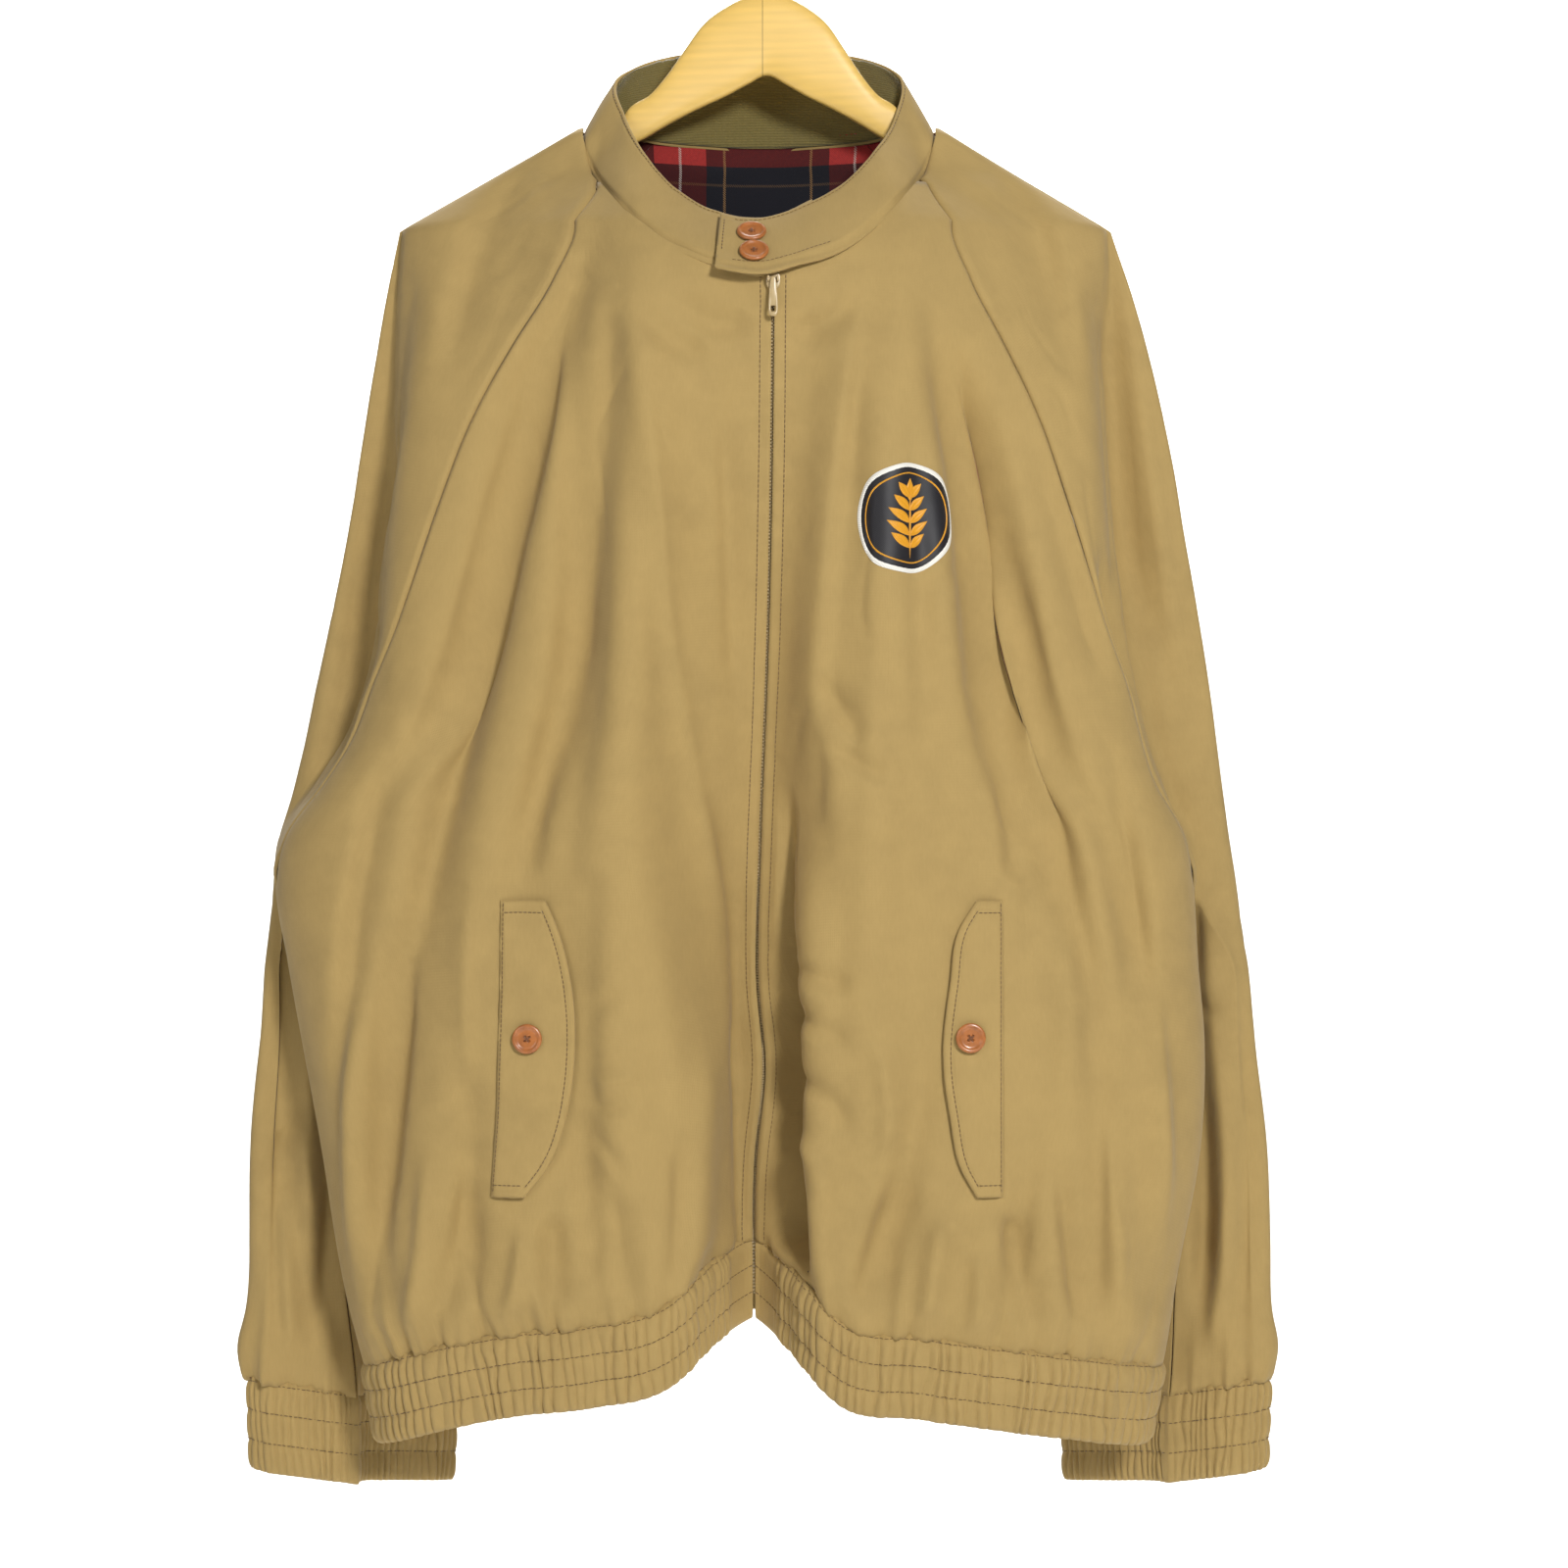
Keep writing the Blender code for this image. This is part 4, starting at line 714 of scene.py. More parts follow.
def gathers(along_seam, distance, seed, depth=3.9, reach=34.0):
    """Pleats that rise from a gathered seam: waves of uneven pitch across it, dying away with the
    distance."""
    shift = 5.0 * lattice(along_seam, 0, 23, seed) + 2.2 * lattice(along_seam, distance, 31, seed + 1)
    near = np.cos((along_seam + shift) * 2 * np.pi / 8.5)
    far = np.cos((along_seam + shift * 1.7) * 2 * np.pi / 27 + 1)
    vary = 0.6 + 0.4 * lattice(along_seam, 0, 16, seed + 2)
    close, away = np.exp(-distance / (reach * 0.35)), np.exp(-distance / reach)
    return vary * depth * (0.45 * near * close + 0.8 * far * away)


def lengths(grid, axis):
    """Distance in millimetres along the rows (axis 1) or the columns (axis 0) of a grid of points."""
    step = np.linalg.norm(np.diff(grid, axis=axis), axis=-1)
    zero = np.zeros_like(step[:1]) if axis == 0 else np.zeros_like(step[:, :1])
    return np.concatenate([zero, np.cumsum(step, axis)], axis)


def normals(grid, closed=False, smooth=0):
    """Unit normals of a grid of points, from the differences along its rows and its columns."""
    if closed:
        wide = np.concatenate([grid[:, -1:], grid, grid[:, :1]], 1)
        along_row = wide[:, 2:] - wide[:, :-2]
    else:
        along_row = np.gradient(grid, axis=1)
    n = np.cross(along_row, np.gradient(grid, axis=0))
    n = unit(n)
    for _ in range(smooth):
        wide = np.concatenate([n[:, -1:], n, n[:, :1]] if closed else [n[:, :1], n, n[:, -1:]], 1)
        n = wide[:, :-2] * 0.25 + wide[:, 1:-1] * 0.5 + wide[:, 2:] * 0.25
        n = unit(n)
    return n


def grid_faces(rows, columns, closed=False, start=0):
    """Quads of a grid of points; a closed grid joins its last column to its first."""
    i, j = np.meshgrid(np.arange(rows - 1), np.arange(columns if closed else columns - 1), indexing="ij")
    k = (j + 1) % columns
    quads = np.stack([i * columns + j, (i + 1) * columns + j, (i + 1) * columns + k, i * columns + k], -1)
    return quads.reshape(-1, 4) + start


def add_mesh(name, points, faces, materials, slots=None, uv=None, smooth=True):
    """A mesh object at the origin from points in millimetres. slots gives each face its material, and uv each
    corner its place in metres on the flat cloth."""
    mesh = bpy.data.meshes.new(name)
    faces = np.asarray(faces)
    mesh.vertices.add(len(points))
    mesh.vertices.foreach_set("co", (np.asarray(points, float) * MM).ravel())
    mesh.loops.add(faces.size)
    mesh.loops.foreach_set("vertex_index", faces.ravel())
    mesh.polygons.add(len(faces))
    mesh.polygons.foreach_set("loop_start", np.arange(len(faces)) * faces.shape[1])
    if slots is not None:
        mesh.polygons.foreach_set("material_index", np.asarray(slots, int))
    for material in materials:
        mesh.materials.append(material)
    mesh.update(calc_edges=True)
    if uv is not None:
        layer = mesh.uv_layers.new(name="cut")
        layer.data.foreach_set("uv", (np.asarray(uv, float)[faces.ravel()] * MM).ravel())
    mesh.polygons.foreach_set("use_smooth", np.full(len(faces), smooth))
    mesh.validate()
    body = bpy.data.objects.new(name, mesh)
    bpy.context.scene.collection.objects.link(body)
    return body


def wall(name, outer, inner, outside, inside, closed=False, uv=None):
    """A wall of cloth between two grids of points: both faces and the edges that join them.

    The order of each face's corners is turned so that it points away from the other layer.
    """
    rows, columns = outer.shape[:2]
    count = rows * columns
    quads = grid_faces(rows, columns, closed)
    middle_row, middle_column = rows // 2, columns // 2
    n = np.cross(outer[middle_row, middle_column + 1] - outer[middle_row, middle_column],
                 outer[middle_row + 1, middle_column] - outer[middle_row, middle_column])
    facing_in = n @ (inner[middle_row, middle_column] - outer[middle_row, middle_column]) > 0
    front = quads if facing_in else quads[:, ::-1]
    rims = []
    for row, turn in ((0, False), (rows - 1, True)):
        a = np.arange(columns if closed else columns - 1) + row * columns
        b = (a - row * columns + 1) % columns + row * columns
        rim = np.stack([a, b, b + count, a + count], -1)
        rims.append(rim[:, ::-1] if turn else rim)
    if not closed:
        for column, turn in ((0, True), (columns - 1, False)):
            a = np.arange(rows - 1) * columns + column
            rim = np.stack([a, a + columns, a + columns + count, a + count], -1)
            rims.append(rim[:, ::-1] if turn else rim)
    rims = np.concatenate(rims)
    if not facing_in:
        rims = rims[:, ::-1]
    faces = np.concatenate([front, quads[:, ::-1] + count if facing_in else quads + count, rims])
    slots = np.zeros(len(faces), int)
    slots[len(quads):2 * len(quads)] = 1
    if uv is None:
        uv = np.stack([lengths(outer, 1), -lengths(outer, 0)], -1)
    uv = np.concatenate([uv.reshape(-1, 2)] * 2)
    points = np.concatenate([outer.reshape(-1, 3), inner.reshape(-1, 3)])
    return add_mesh(name, points, faces, [outside, inside], slots, uv)


def finish_piece(piece, slot, *nodes, body="jacket"):
    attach(piece, body)
    if nodes:
        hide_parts(*nodes)
    return piece


def capsules(name, centres, ways, ups, length, width, height, materials):
    """Short stitches or teeth, all in one mesh: each is a spindle of four rings of four points along its way,
    flattened to the given height over the cloth."""
    stations = np.array([-0.5, -0.3, 0.3, 0.5])
    girth = np.array([0.35, 1.0, 1.0, 0.35])
    angle = circle(4)
    across = np.cross(ways, ups)
    length = np.broadcast_to(length, (len(centres),))[:, None, None, None]
    ring = (across[:, None, None] * np.cos(angle)[None, None, :, None] * width / 2
            + ups[:, None, None] * np.sin(angle)[None, None, :, None] * height / 2) * girth[None, :, None, None]
    points = centres[:, None, None] + ways[:, None, None] * stations[None, :, None, None] * length + ring
    one = np.concatenate([grid_faces(4, 4, True), [[0, 1, 2, 3], [15, 14, 13, 12]]])
    faces = (one[None] + (np.arange(len(centres)) * 16)[:, None, None]).reshape(-1, 4)
    return add_mesh(name, points.reshape(-1, 3), faces[:, ::-1], materials)


def seam_points(line, ups, pitch, start=0.0):
    """Places, ways and outward directions of stitches evenly spaced along a line of points."""
    at = lengths(line[None], 1)[0]
    places = np.arange(start + pitch / 2, at[-1] - pitch * 0.4, pitch)
    centre, ahead, before = (points_at(line, at, places + d) for d in (0, 0.5, -0.5))
    up = points_at(ups, at, places)
    way = unit(ahead - before)
    return centre, way, unit(up - way * np.sum(up * way, -1, keepdims=True))


def pick_line(grid, rows, columns):
    """Points of a grid at fractional rows and columns, by straight blends."""
    r = np.clip(rows, 0, grid.shape[0] - 1.001)
    c = np.clip(columns, 0, grid.shape[1] - 1.001)
    i, j = np.floor(r).astype(int), np.floor(c).astype(int)
    a, b = (r - i)[..., None], (c - j)[..., None]
    return ((grid[i, j] * (1 - a) + grid[i + 1, j] * a) * (1 - b)
            + (grid[i, j + 1] * (1 - a) + grid[i + 1, j + 1] * a) * b)


def column_at(grid, distance, from_last=False):
    """Fractional column that lies at a distance along each row from the grid's first or last column."""
    along_rows = lengths(grid, 1)
    want = along_rows[:, -1] - distance if from_last else np.full(len(grid), float(distance))
    return np.array([np.interp(w, row, np.arange(grid.shape[1])) for w, row in zip(want, along_rows)])


# ---- Materials ----

def linear(value):
    """A colour's linear red, green, blue and alpha from its sRGB hex value."""
    parts = np.array([int(value[i:i + 2], 16) for i in (1, 3, 5)]) / 255
    parts = np.where(parts <= 0.04045, parts / 12.92, ((parts + 0.055) / 1.055) ** 2.4)
    return (*[float(p) for p in parts], 1.0)


def add(tree, kind, inputs=None, **settings):
    """Adds a node with its settings; an input takes a value, or the output that is linked to it."""
    made = tree.nodes.new(kind)
    for name, value in settings.items():
        setattr(made, name, value)
    for name, value in (inputs or {}).items():
        if isinstance(value, bpy.types.NodeSocket):
            tree.links.new(value, made.inputs[name])
        else:
            made.inputs[name].default_value = value
    return made


def shade(colour, factor):
    """The colour made lighter or darker."""
    return (*[min(c * factor, 1.0) for c in colour[:3]], 1.0)


def new_material(name, **sockets):
    """A material with its Principled shader's constant sockets set; returns it, its tree and the shader."""
    material = bpy.data.materials.new(name)
    material.use_nodes = True
    tree = material.node_tree
    shader = tree.nodes["Principled BSDF"]
    for socket, value in sockets.items():
        shader.inputs[socket.replace("_", " ")].default_value = value
    return material, tree, shader


def waves(tree, where, period, direction="X", distortion=0.0, detail_scale=1.0):
    """Straight bands with the given period in metres; the wave's own period is 0.314 over its scale."""
    return add(tree, "ShaderNodeTexWave", {
        "Vector": where, "Scale": 0.314 / period, "Distortion": distortion, "Detail Scale": detail_scale},
        bands_direction=direction).outputs["Fac"]


def noise(tree, where, size, detail=3.0, rough=0.55):
    """Cloudy noise with patches of about the given size in metres."""
    return add(tree, "ShaderNodeTexNoise", {
        "Vector": where, "Scale": 1.0 / size, "Detail": detail, "Roughness": rough}).outputs["Fac"]


def mix(tree, share, a, b, blend="MIX"):
    made = add(tree, "ShaderNodeMix", data_type="RGBA", blend_type=blend)
    for socket, value in ((made.inputs[0], share), (made.inputs[6], a), (made.inputs[7], b)):
        if isinstance(value, bpy.types.NodeSocket):
            tree.links.new(value, socket)
        else:
            socket.default_value = value
    return made.outputs[2]


def ramp_between(tree, value, low, high):
    """0 below low and 1 above high, as a straight ramp."""
    return add(tree, "ShaderNodeMapRange", {
        "Value": value, "From Min": low, "From Max": high}, clamp=True).outputs["Result"]


def math_node(tree, operation, a, b=0.0):
    return add(tree, "ShaderNodeMath", {0: a, 1: b}, operation=operation).outputs[0]


def finish_surface(tree, shader, tone, height, distance, strength):
    """Links the shader's colour, and its bump of the given real height in metres."""
    tree.links.new(tone, shader.inputs["Base Color"])
    made = add(tree, "ShaderNodeBump", {"Height": height, "Distance": distance, "Strength": strength})
    tree.links.new(made.outputs["Normal"], shader.inputs["Normal"])


def object_place(tree):
    return add(tree, "ShaderNodeTexCoord").outputs["Object"]


def coordinates(tree):
    """The cloth's own cut coordinates and the object's, both in metres."""
    return add(tree, "ShaderNodeUVMap", uv_map="cut").outputs["UV"], object_place(tree)


def cotton_poplin(name, colour):
    """Plain woven cotton and polyester, washed: matt, with a faint sheen at grazing angles, threads that
    show as a fine grain and a slightly cloudy dye. Threads lie 0.35 mm apart and are drawn 0.9 mm apart, so
    that they show."""
    material, tree, shader = new_material(
        name, Roughness=0.82, Sheen_Weight=0.12, Sheen_Roughness=0.45, Specular_IOR_Level=0.28)
    cut, place = coordinates(tree)
    cloudy = noise(tree, place, 0.11, 4.0, 0.6)
    worn = noise(tree, place, 0.018, 3.0)
    threads = add(tree, "ShaderNodeMapping", {"Vector": cut, "Scale": (1.0, 0.22, 1.0)}).outputs["Vector"]
    slub = noise(tree, threads, 0.0016, 2.0)
    tone = mix(tree, ramp_between(tree, cloudy, 0.3, 0.7), shade(colour, 0.94), shade(colour, 1.05))
    tone = mix(tree, ramp_between(tree, worn, 0.35, 0.75), tone, shade(colour, 1.07), "MIX")
    grain = mix(tree, slub, (0.90, 0.90, 0.89, 1), (1.0, 1.0, 1.0, 1))
    tone = mix(tree, 1.0, tone, grain, "MULTIPLY")
    weft = waves(tree, cut, 0.0009, "Y", 0.6)
    warp = waves(tree, cut, 0.0009, "X", 0.6)
    weave = math_node(tree, "MULTIPLY", weft, warp)
    height = math_node(tree, "ADD", weave, math_node(tree, "MULTIPLY", slub, 0.8))
    finish_surface(tree, shader, tone, height, 0.00010, 0.55)
    return material


def rib_knit(name, colour):
    """Acrylic rib knit: dark, soft and fuzzy, with rows of small loops down each rib."""
    material, tree, shader = new_material(
        name, Roughness=0.95, Sheen_Weight=0.35, Sheen_Roughness=0.5, Specular_IOR_Level=0.2)
    cut, place = coordinates(tree)
    fuzz = noise(tree, place, 0.0011, 4.0, 0.7)
    loops = waves(tree, cut, 0.0017, "Y", 1.2, 2.0)
    tone = mix(tree, fuzz, shade(colour, 0.68), shade(colour, 1.32))
    tone = mix(tree, math_node(tree, "MULTIPLY", loops, 0.35), tone, shade(colour, 0.6))
    finish_surface(tree, shader, tone, math_node(tree, "ADD", loops, fuzz), 0.00035, 0.8)
    return material


def checked_flannel(name, ground, block, line, fine):
    """Brushed cotton lining, woven in a plain check: a wide band with a pale line in its middle and two
    fine lines beside it, the same in warp and weft, which meet in a twill."""
    material, tree, shader = new_material(
        name, Roughness=0.9, Sheen_Weight=0.25, Sheen_Roughness=0.5, Specular_IOR_Level=0.2)
    cut, place = coordinates(tree)
    split = add(tree, "ShaderNodeSeparateXYZ", {"Vector": cut})
    runs = [math_node(tree, "PINGPONG", math_node(tree, "ADD", split.outputs[axis], shift), CHECK_REPEAT / 2)
            for axis, shift in (("X", CHECK_REPEAT * 0.5), ("Y", CHECK_REPEAT * 0.40))]
    across = math_node(tree, "ADD", split.outputs["X"], split.outputs["Y"])
    over = math_node(tree, "GREATER_THAN", math_node(tree, "PINGPONG", across, TWILL), TWILL / 2)
    warp, weft = (math_node(tree, "LESS_THAN", run, 0.0165) for run in runs)
    off_band, on_band = mix(tree, warp, ground, shade(block, 0.16)), mix(tree, warp, shade(block, 0.24), block)
    tone = mix(tree, weft, off_band, on_band)
    for run, strength in zip(runs, (0.85, 0.25)):
        for middle, colour in ((0.0, line), (0.0282, fine)):
            near = math_node(tree, "ABSOLUTE", math_node(tree, "SUBTRACT", run, middle))
            shown = math_node(tree, "MULTIPLY", math_node(tree, "LESS_THAN", near, 0.0008), over)
            tone = mix(tree, math_node(tree, "MULTIPLY", shown, strength), tone, colour)
    tone = mix(tree, math_node(tree, "MULTIPLY", over, 0.25), tone, ground)
    nap = math_node(tree, "MULTIPLY", noise(tree, place, 0.0014, 3.0), 0.5)
    tone = mix(tree, nap, tone, shade(ground, 0.7))
    finish_surface(tree, shader, tone, math_node(tree, "ADD", over, noise(tree, place, 0.0008)), 0.00012, 0.6)
    return material


def lacquered_wood(name, colour):
    """Pale hardwood, turned and sanded, under clear lacquer: long soft grain, a glued joint at its middle
    and a glossy coat."""
    material, tree, shader = new_material(
        name, Roughness=0.38, Coat_Weight=0.55, Coat_Roughness=0.12, Specular_IOR_Level=0.45)
    place = object_place(tree)
    drawn = add(tree, "ShaderNodeMapping", {
        "Vector": place, "Rotation": (0, 0.35, 0), "Scale": (0.10, 1.0, 1.0)}).outputs["Vector"]
    grain = noise(tree, drawn, 0.0035, 5.0, 0.6)
    rings = waves(tree, drawn, 0.0052, "Z", 3.0, 1.4)
    tone = mix(tree, grain, shade(colour, 0.86), shade(colour, 1.08))
    tone = mix(tree, math_node(tree, "MULTIPLY", rings, 0.22), tone, shade(colour, 0.72))
    split = add(tree, "ShaderNodeSeparateXYZ", {"Vector": place})
    beside = math_node(tree, "ABSOLUTE", math_node(tree, "SUBTRACT", split.outputs["X"], JOINT_X * MM))
    joint = math_node(tree, "LESS_THAN", beside, 0.00035)
    tone = mix(tree, math_node(tree, "MULTIPLY", joint, 0.7), tone, shade(colour, 0.32))
    finish_surface(tree, shader, tone, grain, 0.00008, 0.5)
    return material


def moulded_polyester(name, colour):
    """Button moulded from tinted polyester to look like horn: a streaky body under a smooth polished face."""
    material, tree, shader = new_material(
        name, Roughness=0.32, Coat_Weight=0.35, Coat_Roughness=0.15, IOR=1.54)
    place = object_place(tree)
    streaks = noise(tree, place, 0.006, 4.0, 0.6)
    tone = mix(tree, ramp_between(tree, streaks, 0.3, 0.7), shade(colour, 0.78), shade(colour, 1.2))
    finish_surface(tree, shader, tone, streaks, 0.00003, 0.4)
    return material


def enamelled_zinc(name, colour):
    """Die-cast zinc under baked enamel: soft gloss, rubbed a little paler in places."""
    material, tree, shader = new_material(
        name, Roughness=0.36, Coat_Weight=0.3, Coat_Roughness=0.2, Specular_IOR_Level=0.5)
    place = object_place(tree)
    rubbed = noise(tree, place, 0.004, 3.0)
    tone = mix(tree, rubbed, shade(colour, 0.86), shade(colour, 1.12))
    finish_surface(tree, shader, tone, rubbed, 0.00004, 0.4)
    return material


def plated_steel(name, colour):
    """Drawn steel wire with bright zinc plating: metallic, with faint marks along its length."""
    material, tree, shader = new_material(name, Metallic=1.0, Roughness=0.26)
    place = object_place(tree)
    marks = noise(tree, place, 0.002, 4.0)
    tree.links.new(ramp_between(tree, marks, -0.8, 2.2), shader.inputs["Roughness"])
    finish_surface(tree, shader, mix(tree, marks, shade(colour, 0.9), colour), marks, 0.00002, 0.4)
    return material


def spun_thread(name, colour, gloss=0.55):
    """Twisted polyester or rayon thread: fine slanting plies with a silky light along them."""
    material, tree, shader = new_material(
        name, Roughness=gloss, Sheen_Weight=0.2, Sheen_Roughness=0.4, Specular_IOR_Level=0.4)
    place = object_place(tree)
    plies = waves(tree, place, 0.0006, "DIAGONAL", 1.0)
    tone = mix(tree, plies, shade(colour, 0.78), shade(colour, 1.1))
    finish_surface(tree, shader, tone, plies, 0.00006, 0.6)
    return material


def plain_backdrop(name, colour):
    """Matt painted board with a very fine tooth."""
    material, tree, shader = new_material(name, Roughness=0.95, Specular_IOR_Level=0.1)
    place = object_place(tree)
    tooth = noise(tree, place, 0.003, 2.0)
    finish_surface(tree, shader, mix(tree, tooth, shade(colour, 0.985), colour), tooth, 0.00005, 0.2)
    return material


# ---- Cloth ----

FLAP_BOX = {-1: (-170, -108, -826, -632), 1: (100, 148, -826, -632)}    # x and z round each pocket flap
HEM_FOLD = 5.0             # how far the cloth bags over the hem band
CUFF_FOLD = 3.5
ALLOWANCE = 4.0            # a band's cloth that goes up behind its seam
FULLNESS = 1.5             # length of the band's cloth over its gathered length
ZIP_FOLD = {"x": 14.0, "depth": 42.0, "half": 3.5, "spread": 5.0}    # fold beside the zip, on the left front


def round_flap(side, x, z):
    """1 on and round a pocket flap, 0 away from it."""
    x0, x1, z0, z1 = FLAP_BOX[side]
    return (ease(x, x0 - 14, x0) * (1 - ease(x, x1, x1 + 14))
            * ease(z, z0 - 14, z0) * (1 - ease(z, z1, z1 + 14)))


def front_relief(side, x, z, share, nominal):
    """Height of a front's creases, crumple and gathers over its soft form, faded at the seams."""
    name = f"front_{side_name(side)}"
    width = np.abs(edge_x(side, "fold", nominal) - read(ZIP, "x", nominal))
    from_zip = share * width
    seam = np.where(nominal < ARMPIT_Z, 1.0, raglan_share(side, nominal))
    from_seam = np.maximum(seam - share, 0) * width
    up = np.maximum(nominal - HEM_Z, 0)
    flat = round_flap(side, x, z)
    fold_half = ZIP_FOLD["half"] + ZIP_FOLD["spread"] * ease(-z, 600, 760)
    fold = ZIP_FOLD["depth"] * ease(-z, 560, 720) * ease(up, 7, 34) * (side > 0)
    fold = fold / (1 + (np.abs(x - ZIP_FOLD["x"]) / fold_half) ** 6)
    relief = crease_relief(name, x, z) * (1 - 0.75 * flat) * ease(up, 2, 30)
    relief += crumple(x, z, 11 + side) * (1 - 0.8 * flat) * DETAIL["crumple"]
    relief += gathers(share * 300, up, 31 + side) * DETAIL["gathers"] * (1 - 0.6 * flat)
    relief += HEM_FOLD * bell(up, 27, 20) * ease(share, 0.05, 0.3) - 3.0 * np.exp(-up / 5)
    pucker = 0.35 * lattice(z, 0, 7, 51 + side) * bell(from_zip, 7, 6)
    relief = relief * ease(from_zip, 0, 11) * (0.15 + 0.85 * ease(from_seam, 0, 16)) + pucker - fold
    relief -= 0.35 * bell(from_zip, ZIP_STITCH, 1.1)
    relief += 0.35 * (1 - ease(from_zip, 1.0, ZIP_STITCH))
    relief -= SEAM_DIP * bell(from_seam, 0, 1.5)
    return relief * (1 - 0.6 * ease(share, 0.9, 1.0))


def front_surface(side, share, nominal, lift=0.0):
    """A front's visible face at shares and nominal heights: the soft form moved along its normal by the
    relief."""
    share, nominal = np.broadcast_arrays(np.asarray(share, float), np.asarray(nominal, float))
    p = front_point(side, share, nominal)
    q, r = front_point(side, share + 0.004, nominal), front_point(side, share, nominal + 1.5)
    q0, r0 = front_point(side, share - 0.004, nominal), front_point(side, share, nominal - 1.5)
    n = np.cross(q - q0, r - r0) * -side
    n = unit(n)
    n = n * np.where(n[..., 1:2] > 0.3, -1, 1)
    return p + n * (front_relief(side, p[..., 0], p[..., 2], share, nominal) + lift)[..., None], n


def share_of(side, x, z):
    """The share and nominal height at which a front passes through x and z."""
    nominal = np.array(z, float)
    for _ in range(6):
        x0 = read(ZIP, "x", nominal)
        share = np.clip((x - x0) / (edge_x(side, "fold", nominal) - x0), 0, 1)
        nominal = z - hem_rise(side_name(side), share) * ramp(nominal)
    return share, nominal


def panel(name, soft, out, relief, materials, cut, first=SEAM / 2):
    """A panel's wall: its soft form drawn in at the seams and moved out by the relief."""
    edges = inset(soft, first)
    outer = edges + out * relief[..., None]
    inner = edges + out * (relief - SHELL)[..., None]
    return wall(name, outer, inner, *materials, uv=cut), outer, out


def make_front(side, materials):
    """A front: shares from the zip to the raglan and side seams, over nominal heights down to the hem."""
    rows = np.linspace(TIP_Z, HEM_Z, 200)
    start = neck_share(side, rows)
    end = np.where(rows < ARMPIT_Z, 1.0, raglan_share(side, rows))
    share = spread(start, end, 118)
    soft = front_point(side, share, rows[:, None])
    out = normals(soft, smooth=1) * -side
    relief = front_relief(side, soft[..., 0], soft[..., 2], share, rows[:, None] + 0 * share)
    cut = np.stack([share * 310 * side, soft[..., 2]], -1)
    return panel(f"front_{side_name(side)}_cloth", soft, out, relief, materials, cut, 0)


def make_back(materials):
    """The back: shares to both sides from its middle."""
    rows = np.linspace(-158, HEM_Z, 156)
    end = np.where(rows < ARMPIT_Z, 1.0, read(RAGLAN, "back", rows))
    right = back_point(-1, spread(end * 0, end, 68), rows[:, None])
    left = back_point(1, spread(end * 0, end, 68), rows[:, None])
    soft = np.concatenate([right[:, :0:-1], left], 1)
    out = normals(soft, smooth=1)
    x, z = soft[..., 0], soft[..., 2]
    from_left = lengths(soft, 1)
    from_edge = np.minimum(from_left, from_left[:, -1:] - from_left)
    up = np.maximum(rows[:, None] - HEM_Z, 0) + 0 * x
    relief = crease_relief("back", x, z) + crumple(x, z, 71) * DETAIL["crumple"]
    relief = np.maximum(relief, -0.4 - 30 * ease(-z, 330, 620))
    relief += gathers(from_left, up, 77) * DETAIL["gathers"]
    relief += HEM_FOLD * bell(up, 27, 20) - 3.0 * np.exp(-up / 5)
    relief = relief * (0.1 + 0.9 * ease(from_edge, 0, 18)) * ease(-z, 158, 190)
    relief -= SEAM_DIP * bell(from_edge, 0, 1.5)
    return panel("back_cloth", soft, out, relief, materials, np.stack([x, z], -1))


def make_sleeve(side, materials):
    """A sleeve: rings from the front raglan seam round the outer edge to the back seam, over heights to the
    cuff."""
    rows = np.linspace(-158, CUFF_SEAM_Z, 184)
    yoke, steps = 36, (8, 14, 22, 14, 14)
    soft = sleeve_grid(side, rows, yoke, steps)
    out = normals(soft, smooth=4) * -side
    x, z = soft[..., 0], soft[..., 2]
    round_it = lengths(soft, 1)
    edge_column = yoke + steps[0]
    from_outer = round_it - round_it[:, edge_column:edge_column + 1]
    on_front = ease(-out[..., 1], -0.1, 0.45)
    on_back = ease(out[..., 1], -0.1, 0.45)
    name = f"sleeve_{side_name(side)}"
    up = rows[:, None] - CUFF_SEAM_Z + 0 * x
    hidden = ease(np.arange(soft.shape[1]) - edge_column, 16, 30)[None, :]
    relief = crease_relief(name, x, z) * on_front
    relief += crease_relief(name, x - side * 6, z + 34) * on_back * 0.8
    relief += crumple(from_outer, z, 91 + side) * DETAIL["crumple"]
    relief *= (1 - 0.65 * hidden) * (0.25 + 0.75 * ease(np.abs(from_outer), 2, 34))
    relief += gathers(from_outer, up, 97 + side, depth=4.4, reach=30) * DETAIL["gathers"]
    relief += CUFF_FOLD * bell(up, 22, 16) - 2.6 * np.exp(-up / 4)
    from_seam = np.minimum(round_it, round_it[:, -1:] - round_it)
    above = ease(z, ARMPIT_Z - 20, ARMPIT_Z + 20)
    relief = relief * (1 - 0.9 * (1 - ease(from_seam, 0, 16)))
    relief -= SEAM_DIP * bell(from_seam, 0, 1.5) * above
    relief *= ease(-rows, 158, 186)[:, None]
    return panel(f"{name}_cloth", soft, out, relief, materials, np.stack([from_outer, z], -1))


# ---- Gathered bands ----

